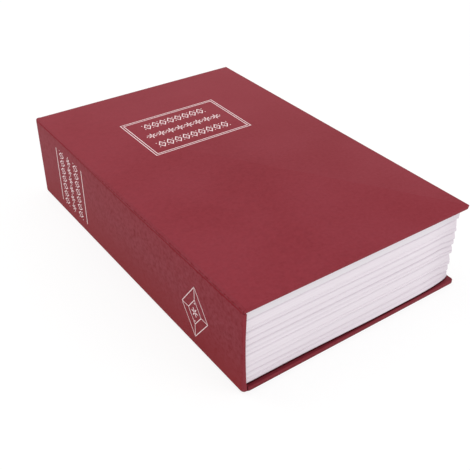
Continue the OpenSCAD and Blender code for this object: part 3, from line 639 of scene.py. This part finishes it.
def pageRing(station, distance):
    # A ring of points with their shades: the outer face, the rim, the opening and the inner wall
    (ox, oy), turn, (ix, iy), bend = station
    rim, low, moulding, wall = (pages[k] for k in ("rim", "low", "moulding", "wall"))
    flat = [(0, d, z, shade) for d, z, shade in pageProfile(distance)]
    slab, dark = cornerInset(distance, rim), endShade(distance)
    flat += [(0, d + slab, rim - z, shade + dark)
             for d, z, shade in ((0.06, 0.5, 0.1), (0.36, 0.1, 0.1), (0.7, 0, 0))]
    flat += [(1, 0.55, rim, 0), (1, 0.18, rim - 0.14, 0), (1, 0, rim - 0.5, 0), (1, 0, low, 0),
             (1, moulding, low, 0), (1, moulding, rim - moulding, 0),
             (0, wall, rim - moulding, 0), (0, wall, low, 0)]
    ring = []
    for side, d, z, shade in flat:
        if side == 0:
            swell = hollow(z) if distance == 0 else 0
            ring.append((ox - d * math.sin(turn) - swell, oy + d * math.cos(turn), z))
        else:
            ring.append((ix + d * math.sin(bend), iy - d * math.cos(bend), z))
    return ring, [shade for side, d, z, shade in flat]


def turnedOver(points):
    return [(x, -y, z) for x, y, z in points]


stations = pageStations()
lengths = [0.0]
for a, b in zip(stations, stations[1:]):
    lengths.append(lengths[-1] + math.dist(a[0], b[0]))
tailHalf = [pageRing(s, d) for s, d in zip(stations, lengths)]
headHalf = [(turnedOver(ring), shade) for ring, shade in tailHalf[-2::-1]]
rings = [ring for ring, shade in tailHalf + headHalf]
shades = [value for ring, shade in tailHalf + headHalf for value in shade]
wallEnds = {"x0": -56.6, "x1": -55.6, "y": 81.2, "top": 37.0}
spineWall = block(wallEnds["x0"], wallEnds["x1"], -wallEnds["y"], wallEnds["y"], pages["low"],
                  wallEnds["top"])
pageMesh = solidMesh("pageBlock", [ringSolid(rings), spineWall], {"seam": shades})
pageBlock = newPiece("pageBlock", pageMesh, pagePlastic, 32)
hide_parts("page_frame")
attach(pageBlock, "case")

# The back lining paper is raised under the page block; the gap casts real shade, and its dark colour
# paints the shadow line at the block's foot
padSteps = [(0.0, 2.1), (0.0, 3.15), (0.92, 3.15), (0.96, 2.26)]  # share of the way in, height
padInset = 0.1
padRows = []
for share, z in padSteps:
    row = []
    for ((ox, oy), turn, (ix, iy), bend), distance in zip(stations, lengths):
        d = padInset + pages["stand"] - footFlare(distance) + cornerInset(distance, pages["low"])
        x, y = ox - d * math.sin(turn), oy + d * math.cos(turn)
        row.append((x + (ix - x) * share, y + (iy - y) * share, z))
    padRows.append(row + turnedOver(row[-2::-1]))
# A sheet of the dark lining paper lies in the gap between the spine board and the page block: painted
# shade in that gap
sheetEnds = {"x0": -57.1, "x1": -56.4, "y": 88.2, "low": 2.4, "top": 37.5}
spineSheet = block(sheetEnds["x0"], sheetEnds["x1"], -sheetEnds["y"], sheetEnds["y"],
                   sheetEnds["low"], sheetEnds["top"])
liningSolids = [ringSolid(padRows), spineSheet]
backLining = newPiece("backLining", solidMesh("backLining", liningSolids), shadowTonedLining, 20)
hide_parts("back_lining")
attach(backLining, "case")
print("page block made")

# Geometry Nodes: trees for what repeats, each run once and kept as a plain mesh


def newTree(name, inputs):
    tree = bpy.data.node_groups.new(name, "GeometryNodeTree")
    tree.interface.new_socket("Geometry", in_out="OUTPUT", socket_type="NodeSocketGeometry")
    kinds = {int: "NodeSocketInt", float: "NodeSocketFloat"}
    for label, value in inputs.items():
        socket = tree.interface.new_socket(label, in_out="INPUT", socket_type=kinds[type(value)])
        socket.default_value = value
    tree.interface.new_socket("Material", in_out="INPUT", socket_type="NodeSocketMaterial")
    return tree, add(tree, "NodeGroupInput").outputs


def endTree(tree, given, geometry):
    real = add(tree, "GeometryNodeRealizeInstances", {"Geometry": geometry})
    painted = add(tree, "GeometryNodeSetMaterial",
                  {"Geometry": real, "Material": given["Material"]})
    add(tree, "NodeGroupOutput", {0: painted})
    return tree


def growMesh(tree, values, paint):
    holder = newObject("holder", bpy.data.meshes.new("holder"))
    modifier = holder.modifiers.new("Grow", "NODES")
    modifier.node_group = tree
    given = {**values, "Material": paint}
    for item in tree.interface.items_tree:
        if item.item_type == "SOCKET" and item.in_out == "INPUT" and item.name in given:
            modifier[item.identifier] = given[item.name]
    return takeMesh(holder)


def takeMesh(holder):
    # What an object's modifiers or curve make, as a plain mesh; the object itself goes
    graph = bpy.context.evaluated_depsgraph_get()
    mesh = bpy.data.meshes.new_from_object(holder.evaluated_get(graph))
    bpy.data.objects.remove(holder)
    return mesh


def gather(name, parts, paint):
    # Puts meshes at their places into one piece
    work = bmesh.new()
    for mesh, place in parts:
        part = mesh.copy()
        part.transform(place)
        work.from_mesh(part)
    mesh = bpy.data.meshes.new(name)
    work.to_mesh(mesh)
    work.free()
    return newPiece(name, mesh, paint, 28)


def disc(tree, sides, radius, thick):
    # A thin plate standing on z = 0
    plate = add(tree, "GeometryNodeMeshCylinder",
                {"Vertices": sides, "Radius": radius, "Depth": thick})
    return add(tree, "GeometryNodeTransform",
               {"Geometry": plate, "Translation": [0, 0, (thick, 0.5)]})


def roundDot(tree, given):
    return add(tree, "GeometryNodeTransform", {
        "Geometry": disc(tree, 10, 1.0, given["Thick"]), "Scale": [given["Dot"], given["Dot"], 1]})


def rowOf(tree, given, motif, smaller):
    # The motif repeated along X, with the smaller one before, between and after
    rows = []
    for shape, more, shift in ((motif, 0, 0.0), (smaller, 1, -0.5)):
        line = add(tree, "GeometryNodeMeshLine", {
            "Count": add(tree, "ShaderNodeMath", {"operation": "ADD", 0: given["Count"], 1: more}),
            "Offset": [given["Pitch"], 0, 0],
            "Start Location": [(given["Pitch"], shift), 0, 0]})
        rows.append(add(tree, "GeometryNodeInstanceOnPoints", {"Points": line, "Instance": shape}))
    return add(tree, "GeometryNodeJoinGeometry", {0: rows})


def flowerTree():
    # A row of small flowers of narrow petals with dots between them
    tree, given = newTree("flowerRow", {"Count": 6, "Petals": 6, "Pitch": 0.006, "Length": 0.002,
                                        "Width": 0.0006, "Dot": 0.0003, "Thick": 0.00002})
    petal = add(tree, "GeometryNodeTransform", {
        "Geometry": disc(tree, 10, 0.5, given["Thick"]),
        "Scale": [given["Length"], given["Width"], 1],
        "Translation": [(given["Length"], 0.62), 0, 0]})
    spokes = add(tree, "GeometryNodeMeshLine", {"Count": given["Petals"], "Offset": (0, 0, 0)})
    step = add(tree, "ShaderNodeMath", {"operation": "DIVIDE", 0: 2 * math.pi, 1: given["Petals"]})
    index = add(tree, "ShaderNodeMath",
                {"operation": "ADD", 0: add(tree, "GeometryNodeInputIndex"), 1: 0.5})
    flower = add(tree, "GeometryNodeInstanceOnPoints", {
        "Points": spokes, "Instance": petal, "Rotation": [0, 0, (index, step)]})
    return endTree(tree, given, rowOf(tree, given, flower, roundDot(tree, given)))


def lozengeTree():
    # A row of outlined lozenges, a dot in each and pairs of dots between them
    tree, given = newTree("lozengeRow", {"Count": 6, "Pitch": 0.004, "Length": 0.0042,
                                         "Width": 0.0034, "Inner": 0.7, "Dot": 0.0003,
                                         "Thick": 0.00002})
    plate = disc(tree, 4, 0.5, given["Thick"])
    outer = add(tree, "GeometryNodeTransform",
                {"Geometry": plate, "Scale": [given["Width"], given["Length"], 1]})
    inner = add(tree, "GeometryNodeTransform", {
        "Geometry": plate, "Translation": [0, 0, (given["Thick"], -1.0)],
        "Scale": [(given["Width"], given["Inner"]), (given["Length"], given["Inner"]), 3]})
    outline = add(tree, "GeometryNodeMeshBoolean", {
        "operation": "DIFFERENCE", "solver": "EXACT", "Mesh 1": outer, "Mesh 2": inner})
    dot = roundDot(tree, given)
    pair = [add(tree, "GeometryNodeTransform", {
        "Geometry": dot, "Translation": [0, (given["Length"], side), 0]})
        for side in (-0.34, 0.34)]
    return endTree(tree, given, rowOf(
        tree, given, add(tree, "GeometryNodeJoinGeometry", {0: [outline, dot]}),
        add(tree, "GeometryNodeJoinGeometry", {0: pair})))


def shankOf(tree, given, length, rise):
    # The shank of a rivet or screw, its middle at a share of its length
    shank = add(tree, "GeometryNodeMeshCylinder",
                {"Vertices": 24, "Radius": given["Shank"], "Depth": given[length]})
    return add(tree, "GeometryNodeTransform", {
        "Geometry": shank, "Translation": [0, 0, (given[length], rise)]})


def rivetTree():
    # A row of domed rivets along Y; the sheets' outer faces are at 0 and at Grip
    tree, given = newTree("rivetRow", {"Count": 4, "Pitch": 0.03, "Shank": 0.0012, "Head": 0.0021,
                                       "Height": 0.0007, "Grip": 0.0018})
    dome = add(tree, "GeometryNodeMeshUVSphere", {"Segments": 28, "Rings": 14, "Radius": 1.0})
    heads = [add(tree, "GeometryNodeTransform", {
        "Geometry": dome, "Scale": [given["Head"], given["Head"], given["Height"]],
        "Translation": [0, 0, (given["Grip"], share)]}) for share in (0.0, 1.0)]
    rivet = add(tree, "GeometryNodeJoinGeometry", {0: [shankOf(tree, given, "Grip", 0.5)] + heads})
    row = add(tree, "GeometryNodeMeshLine",
              {"Count": given["Count"], "Offset": [0, given["Pitch"], 0]})
    return endTree(tree, given, add(tree, "GeometryNodeInstanceOnPoints",
                                    {"Points": row, "Instance": rivet}))


def screwTree():
    # Pan-head screws with a cross recess on a grid of two by two, their heads below z = 0
    tree, given = newTree("screwField", {"Along X": 0.02, "Along Y": 0.02, "Shank": 0.0008,
                                         "Length": 0.003, "Head": 0.0014, "Height": 0.0008})
    dome = add(tree, "GeometryNodeMeshUVSphere", {"Segments": 32, "Rings": 16, "Radius": 1.0})
    head = add(tree, "GeometryNodeTransform", {
        "Geometry": dome, "Scale": [given["Head"], given["Head"], given["Height"]]})
    slot = add(tree, "GeometryNodeMeshCube", {"Size": [
        (given["Head"], 1.15), (given["Head"], 0.24), (given["Height"], 1.1)]})
    cross = [add(tree, "GeometryNodeTransform", {
        "Geometry": slot, "Rotation": (0, 0, turn),
        "Translation": [0, 0, (given["Height"], -1.0)]}) for turn in (0, math.pi / 2)]
    cutHead = add(tree, "GeometryNodeMeshBoolean", {
        "operation": "DIFFERENCE", "solver": "EXACT", "Mesh 1": head, "Mesh 2": cross})
    screw = add(tree, "GeometryNodeJoinGeometry",
                {0: [shankOf(tree, given, "Length", 0.48), cutHead]})
    grid = add(tree, "GeometryNodeMeshGrid", {
        "Vertices X": 2, "Vertices Y": 2, "Size X": given["Along X"], "Size Y": given["Along Y"]})
    return endTree(tree, given, add(tree, "GeometryNodeInstanceOnPoints",
                                    {"Points": grid, "Instance": screw}))


def ribTree():
    # Upright ribs in a row along X, each a thin block
    tree, given = newTree("ribRow", {"Count": 4, "Pitch": 0.026, "Thick": 0.0015, "Width": 0.0055,
                                     "Height": 0.036})
    rib = add(tree, "GeometryNodeMeshCube",
              {"Size": [given["Thick"], given["Width"], given["Height"]]})
    row = add(tree, "GeometryNodeMeshLine",
              {"Count": given["Count"], "Offset": [given["Pitch"], 0, 0]})
    return endTree(tree, given, add(tree, "GeometryNodeInstanceOnPoints",
                                    {"Points": row, "Instance": rib}))


def at(x, y, z, turn=(0, 0, 0)):
    spin = Matrix.Identity(4)
    for axis, degrees in zip("XYZ", turn):
        spin = Matrix.Rotation(math.radians(degrees), 4, axis) @ spin
    return Matrix.Translation((x * mm, y * mm, z * mm)) @ spin


# Ribs that stiffen the page block, between its outer wall and the opening
ribs = {"pitch": 26, "thick": 1.4, "width": 5.6, "low": 2.4, "high": 38.4, "firstX": -42.6,
        "sides": 4, "fore": 5}
ribShape = ribTree()
ribSizes = {"Pitch": ribs["pitch"] * mm, "Thick": ribs["thick"] * mm, "Width": ribs["width"] * mm,
            "Height": (ribs["high"] - ribs["low"]) * mm}
sideRibs, foreRibs = (growMesh(ribShape, {**ribSizes, "Count": ribs[side]}, pagePlastic)
                      for side in ("sides", "fore"))
ribZ = (ribs["low"] + ribs["high"]) / 2
ribX, ribY = ((pages[opening] + pages["moulding"] + pages[outer] - pages["wall"]) / 2
              for opening, outer in (("openX", "foreX"), ("openY", "endY")))
pageRibs = gather("pageRibs", [
    (sideRibs, at(ribs["firstX"], -ribY, ribZ)), (sideRibs, at(ribs["firstX"], ribY, ribZ)),
    (foreRibs, at(ribX, -ribs["pitch"] * (ribs["fore"] - 1) / 2, ribZ, (0, 0, 90)))], pagePlastic)
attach(pageRibs, "case")

# Foil: rules and rows of small lozenges and flowers, a plain bookbinder's pattern
foil = {"z": 41.98, "thick": 0.016, "frame": [-27.8, 21.7, 26.9, 57.8], "line": 0.42, "gap": 1.2}
coverRows = [  # kind, centre along X, centre along Y, count, pitch, length, width, dot radius
    ("lozenge", -1.2, 49.6, 8, 4.4, 6.0, 4.0, 0.32),
    ("flower", -1.0, 40.0, 8, 5.3, 2.3, 0.62, 0.36),
    ("lozenge", -1.6, 30.2, 9, 4.5, 6.0, 4.0, 0.32)]
rowTrees = {"lozenge": lozengeTree(), "flower": flowerTree()}


def ornamentRow(kind, count, pitch, length, width, dot):
    sizes = {"Pitch": pitch, "Length": length, "Width": width, "Dot": dot, "Thick": foil["thick"]}
    mesh = growMesh(rowTrees[kind], {"Count": count, **{k: v * mm for k, v in sizes.items()}},
                    silverFoil)
    mesh.transform(Matrix.Translation((-(count - 1) / 2 * pitch * mm, 0, 0)))
    return mesh


def band(corners, width):
    # A flat band of even width inside a convex outline
    rings, count = [], len(corners)
    for n in range(count):
        a, b, d = Vector(corners[n - 1]), Vector(corners[n]), Vector(corners[(n + 1) % count])
        first, second = (b - a).normalized(), (d - b).normalized()
        bisector = (second - first).normalized()
        sine = abs(first.x * bisector.y - first.y * bisector.x)
        inner = b + bisector * width / max(sine, 0.1)
        rings.append([(*b, 0), (*inner, 0), (*inner, foil["thick"]), (*b, foil["thick"])])
    return ringSolid(rings, True)


def frameCorners(inset):
    x0, y0, x1, y1 = foil["frame"]
    x0, y0, x1, y1 = x0 + inset, y0 + inset, x1 - inset, y1 - inset
    return [(x0, y0), (x1, y0), (x1, y1), (x0, y1)]


rules = solidMesh("rules", [band(frameCorners(inset), foil["line"]) for inset in (0, foil["gap"])])
parts = [(rules, at(0, 0, foil["z"]))]
for kind, x, y, *sizes in coverRows:
    parts.append((ornamentRow(kind, *sizes), at(x, y, foil["z"])))
frontFoil = gather("frontFoil", parts, silverFoil)
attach(frontFoil, "cover")

# On the spine u runs up (Z) and v runs towards the head (Y)
spineFoil = {"x": -58.98, "u0": 6.0, "u1": 36.0, "rules": [(66.4, 0.6), (38.9, 0.6)],
             "emblem": (18.5, -58.0), "half": (13.0, 9.5), "line": 0.34}
spineRows = [("lozenge", 21.1, 60.6, 7, 4.3, 5.4, 3.8, 0.3),
             ("flower", 21.1, 53.0, 6, 5.1, 2.1, 0.6, 0.34),
             ("lozenge", 21.1, 45.4, 7, 4.3, 5.4, 3.8, 0.3)]
onSpine = Matrix(((0, 0, -1, spineFoil["x"] * mm), (0, 1, 0, 0), (1, 0, 0, 0), (0, 0, 0, 1)))
emblemU, emblemV = spineFoil["emblem"]


def lozenge(scale):
    high, wide = (part * scale for part in spineFoil["half"])
    return [(emblemU - high, emblemV), (emblemU, emblemV - wide), (emblemU + high, emblemV),
            (emblemU, emblemV + wide)]


def spineBar(u0, u1, v0, v1):
    return block(u0, u1, v0, v1, 0, foil["thick"])


flatSolids = [spineBar(spineFoil["u0"], spineFoil["u1"], v - line / 2, v + line / 2)
              for v, line in spineFoil["rules"]]
flatSolids += [band(lozenge(scale), spineFoil["line"]) for scale in (1.0, 0.5)]
high, wide = (part * 0.5 for part in spineFoil["half"])
thin = spineFoil["line"] / 2
for side in (-1, 1):
    # Spokes from the inner lozenge to the corners of the outer one
    near, far = sorted((emblemU + side * high, emblemU + side * 2 * high))
    flatSolids.append(spineBar(near, far, emblemV - thin, emblemV + thin))
    near, far = sorted((emblemV + side * wide, emblemV + side * 2 * wide))
    flatSolids.append(spineBar(emblemU - thin, emblemU + thin, near, far))
parts = [(solidMesh("spineRules", flatSolids), onSpine)]
for kind, u, v, *sizes in spineRows:
    parts.append((ornamentRow(kind, *sizes), onSpine @ at(u, v, 0)))
parts.append((ornamentRow("flower", 1, 9.0, 2.1, 0.6, 0.4), onSpine @ at(emblemU, emblemV, 0)))
spineOrnament = gather("spineFoil", parts, silverFoil)
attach(spineOrnament, "case")
print("foil made")

# Steel box, lid, hinge and lock: copies of the CAD solids with their edges broken


def flatRegion(seed, used):
    # The faces round a face that lie in its plane
    normal, spot = seed.normal.copy(), seed.verts[0].co.copy()
    region, front = {seed}, [seed]
    while front:
        for edge in front.pop().edges:
            for face in edge.link_faces:
                if face not in region and face not in used and all(
                        abs((v.co - spot).dot(normal)) < 1e-6 for v in face.verts):
                    region.add(face)
                    front.append(face)
    return region, normal


def fillFlats(mesh, sharp):
    # A bevel can leave a wide flat face folded over itself, so each is filled anew from its outline
    least, wide = 0.3 * mm * mm, 20 * mm * mm
    work = bmesh.new()
    work.from_mesh(mesh)
    work.faces.index_update()
    work.edges.index_update()
    used, flats = set(), []
    for face in work.faces:
        face.smooth = True
    for seed in sorted(work.faces, key=lambda face: -face.calc_area()):
        if seed in used or seed.calc_area() < least:
            continue
        region, normal = flatRegion(seed, used)
        used |= region
        if sum(face.calc_area() for face in region) > wide:
            for face in region:
                face.smooth = False
        if max(len(face.verts) for face in region) > 4:
            border = {edge for face in region for edge in face.edges
                      if sum(near in region for near in edge.link_faces) == 1}
            flats.append((sorted(region, key=lambda face: face.index), normal,
                          sorted(border, key=lambda edge: edge.index)))
    for region, normal, border in flats:
        bmesh.ops.delete(work, geom=region, context="FACES")
        made = bmesh.ops.triangle_fill(work, edges=border, use_beauty=True, normal=normal)
        for face in made["geom"]:
            if isinstance(face, bmesh.types.BMFace):
                face.smooth = False
                if face.normal.dot(normal) < 0:
                    face.normal_flip()
    bmesh.ops.dissolve_degenerate(work, dist=2e-7, edges=work.edges)
    for edge in work.edges:
        edge.smooth = edge.calc_face_angle(0) < math.radians(sharp)
    work.to_mesh(mesh)
    work.free()


# Angles in degrees: up to flat, faces are joined, from edge on, edges are broken
bevel = {"weld": 0.002, "flat": 0.5, "edge": 35, "sharp": 28, "segments": 2}


def bevelledCopy(node, name, width, paint):
    mesh = frame["nodes"][node].data.copy()
    if "custom_normal" in mesh.attributes:
        mesh.attributes.remove(mesh.attributes["custom_normal"])
    work = bmesh.new()
    work.from_mesh(mesh)
    bmesh.ops.remove_doubles(work, verts=work.verts, dist=bevel["weld"] * mm)
    bmesh.ops.dissolve_limit(work, angle_limit=math.radians(bevel["flat"]), verts=work.verts,
                             edges=work.edges)
    work.to_mesh(mesh)
    work.free()
    holder = newObject(name, mesh)
    modifier = holder.modifiers.new("Edges", "BEVEL")
    modifier.width = width * mm
    modifier.segments = bevel["segments"]
    modifier.limit_method = "ANGLE"
    modifier.angle_limit = math.radians(bevel["edge"])
    modifier.use_clamp_overlap = False
    modifier.miter_outer = "MITER_ARC"
    finished = takeMesh(holder)
    paintWith(finished, paint)
    fillFlats(finished, bevel["sharp"])
    return newObject(name, finished)


edges = {  # node: piece, broken edge in millimetres, material, slot
    "steel_box": ("steelBox", 0.22, powderCoat, "black_steel"),
    "lid_panel": ("lidPanel", 0.25, powderCoat, "black_steel"),
    "strike_plate": ("strikePlate", 0.12, zincPlate, "zinc_steel"),
    "lock_housing": ("lockHousing", 0.08, satinNickel, "zinc_casting"),
    "lock_plate": ("lockPlate", 0.12, zincPlate, "zinc_steel"),
    "thumb_slider": ("thumbSlider", 0.05, satinNickel, "zinc_casting"),
    "reset_lever": ("resetLever", 0.12, zincPlate, "zinc_steel"),
    "bolt_plate": ("boltPlate", 0.1, zincPlate, "zinc_steel"),
    "box_hinge_leaf": ("boxHingeLeaf", 0.1, zincPlate, "zinc_steel"),
    "lid_hinge_leaf": ("lidHingeLeaf", 0.1, zincPlate, "zinc_steel"),
    "number_wheel_1": ("numberWheel1", 0.1, wheelPlastic, "wheel_plastic"),
    "number_wheel_2": ("numberWheel2", 0.1, wheelPlastic, "wheel_plastic"),
    "number_wheel_3": ("numberWheel3", 0.1, wheelPlastic, "wheel_plastic"),
}
bodies = frame["record"]["behaviour"]["bodies"]
bodyOf = {node: body for body, nodes in bodies.items() for node in nodes}
for node, (name, width, paint, slot) in edges.items():
    piece = bevelledCopy(node, name, width, paint)
    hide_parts(node)
    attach(piece, bodyOf[node])

# CAD nodes that stay as they are, with their finishes
finishes = {"hinge_pin": zincPlate, "detent_spring": springSteel, "code_sleeve_1": turnedBrass,
            "code_sleeve_2": turnedBrass, "code_sleeve_3": turnedBrass, "lock_axle": zincPlate,
            "slider_rivet": zincPlate}
for node, paint in finishes.items():
    paintWith(frame["nodes"][node].data, paint)

# Rivets of the hinge and screws of the lock
fixings = {"rivetPitch": 30, "rivets": 4, "boxX": -50.35, "boxZ": 25.3, "lidX": -43.149,
           "lidZ": 33.7}
rivets = growMesh(rivetTree(), {"Count": fixings["rivets"], "Pitch": fixings["rivetPitch"] * mm},
                  zincPlate)
firstY = -fixings["rivetPitch"] * (fixings["rivets"] - 1) / 2
boxRivets = gather("boxRivets", [
    (rivets, at(fixings["boxX"], firstY, fixings["boxZ"], (0, 90, 0)))], zincPlate)
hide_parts("box_rivets")
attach(boxRivets, "case")
lidRivets = gather("lidRivets", [(rivets, at(fixings["lidX"], firstY, fixings["lidZ"]))], zincPlate)
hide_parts("lid_rivets")
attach(lidRivets, "lid")
screwFields = {  # node: piece, lowest and highest X, distance from the middle along Y, Z, length
    "face_screws": ("faceScrews", 15.674, 40.3, 15.55, 34.5, 2.0),
    "plate_screws": ("plateScrews", 15.374, 40.6, 11.15, 22.5, 3.4)}
screws = screwTree()
for node, (name, x0, x1, y, z, length) in screwFields.items():
    field = growMesh(screws, {"Along X": (x1 - x0) * mm, "Along Y": 2 * y * mm,
                              "Length": length * mm}, zincPlate)
    piece = gather(name, [(field, at((x0 + x1) / 2, 0, z))], zincPlate)
    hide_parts(node)
    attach(piece, "lid")

# Numerals 0 to 9 round each wheel, to be read from the fore edge
numerals = {"size": 3.9, "thick": 0.008, "heavier": 0.04, "wheelR": 7.0, "axisX": 22.474,
            "axisZ": 32.3, "wheelY": (-9.3, -1.5, 6.3), "lift": 0.012}


def numeralMesh(text):
    curve = bpy.data.curves.new("numeral", "FONT")
    curve.body = text
    curve.size = numerals["size"] * mm
    curve.align_x, curve.align_y = "CENTER", "CENTER"
    curve.extrude = numerals["thick"] * mm
    curve.offset = numerals["heavier"] * mm
    curve.resolution_u = 8  # a finer outline would cross itself
    mesh = takeMesh(newObject("numeral", curve))
    xs, ys = [v.co.x for v in mesh.vertices], [v.co.y for v in mesh.vertices]
    mesh.transform(Matrix.Translation((-(min(xs) + max(xs)) / 2, -(min(ys) + max(ys)) / 2, 0)))
    return mesh


digits = [numeralMesh(str(n)) for n in range(10)]
apothem = numerals["wheelR"] * math.cos(math.pi / 10) + numerals["lift"]
for i, y in enumerate(numerals["wheelY"]):
    parts = []
    for n, mesh in enumerate(digits):
        turn = math.radians(90 - 36 * n)
        out = Vector((math.cos(turn), 0, math.sin(turn)))
        up = Vector((-math.sin(turn), 0, math.cos(turn)))
        middle = Vector((numerals["axisX"], y, numerals["axisZ"])) + out * apothem
        place = Matrix(((0, up.x, out.x, middle.x * mm), (1, up.y, out.y, middle.y * mm),
                        (0, up.z, out.z, middle.z * mm), (0, 0, 0, 1)))
        parts.append((mesh, place))
    piece = gather("numerals" + str(i + 1), parts, padInk)
    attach(piece, "wheel_" + str(i + 1))
print("box, hinge and lock made")

# Floor, light and camera
stage = {"floor": 1800, "world": 0.74, "glow": 1.09, "glowShare": 0.76}
aim = (0, 0, 20)  # the middle of the safe, which both lights face
softBoxes = {  # place, size and power of each
    "keyBox": ((-250, 500, 850), 700, 2.3), "fillBox": ((500, -800, 450), 600, 2.4)}
half = stage["floor"] * mm
floorMesh = bpy.data.meshes.new("floor")
floorMesh.from_pydata([(-half, -half, 0), (half, -half, 0), (half, half, 0), (-half, half, 0)], [],
                      [(0, 1, 2, 3)])
floor = newObject("floor", floorMesh)


def seenOnly(tree):
    # 1 where the camera looks, straight or through gloss, and 0 for light on the object
    path = add(tree, "ShaderNodeLightPath").outputs
    both = add(tree, "ShaderNodeMath", {
        "operation": "MAXIMUM", 0: path["Is Camera Ray"], 1: path["Is Glossy Ray"]})
    return add(tree, "ShaderNodeMath", {
        "operation": "MAXIMUM", 0: both, 1: path["Is Transmission Ray"]})


floorPaint = bpy.data.materials.new("whitePaper")
floorPaint.use_nodes = True
tree = floorPaint.node_tree
tree.nodes.remove(tree.nodes["Principled BSDF"])
plain = add(tree, "ShaderNodeBsdfDiffuse", {"Color": "#EDEDED"})
glow = add(tree, "ShaderNodeEmission", {"Color": "#FFFFFF", "Strength": stage["glow"]})
mixed = add(tree, "ShaderNodeMixShader", {
    0: (seenOnly(tree), stage["glowShare"]), 1: plain, 2: glow})
fill(tree, tree.nodes["Material Output"], {0: mixed})
floorMesh.materials.append(floorPaint)

world = bpy.data.worlds.new("studio")
scene.world = world
world.use_nodes = True
tree = world.node_tree
tree.nodes.clear()
room = add(tree, "ShaderNodeBackground", {"Color": (1, 0.99, 0.985, 1), "Strength": stage["world"]})
white = add(tree, "ShaderNodeBackground", {"Color": "#FFFFFF", "Strength": 1.0})
mixed = add(tree, "ShaderNodeMixShader", {0: seenOnly(tree), 1: room, 2: white})
add(tree, "ShaderNodeOutputWorld", {0: mixed})

for name, (place, size, power) in softBoxes.items():
    light = bpy.data.lights.new(name, "AREA")
    light.shape = "SQUARE"
    light.size = size * mm
    light.energy = power
    lamp = newObject(name, light)
    lamp.location = Vector(place) * mm
    lamp.rotation_euler = (Vector(place) - Vector(aim)).to_track_quat("Z", "Y").to_euler()

view = {"azimuth": -35.6, "elevation": 35.2908, "roll": 0.3909, "distance": 332.2508,
        "lens": 57.2331, "target": (-17.6191, -27.0829, 21.0)}
azimuth, elevation, roll = (math.radians(view[k]) for k in ("azimuth", "elevation", "roll"))
back = Vector((math.sin(azimuth) * math.cos(elevation), -math.cos(azimuth) * math.cos(elevation),
               math.sin(elevation)))
right = Vector((math.cos(azimuth), math.sin(azimuth), 0))
up = back.cross(right)
right, up = (math.cos(roll) * right + math.sin(roll) * up,
             math.cos(roll) * up - math.sin(roll) * right)
camera = newObject("camera", bpy.data.cameras.new("camera"))
camera.data.lens = view["lens"]
camera.data.sensor_width = 36
camera.data.clip_start = 0.01
spot = (Vector(view["target"]) + back * view["distance"]) * mm
camera.matrix_world = Matrix(((right.x, up.x, back.x, spot.x), (right.y, up.y, back.y, spot.y),
                              (right.z, up.z, back.z, spot.z), (0, 0, 0, 1)))
scene.camera = camera
scene.view_settings.view_transform = "Standard"
print("stage made")
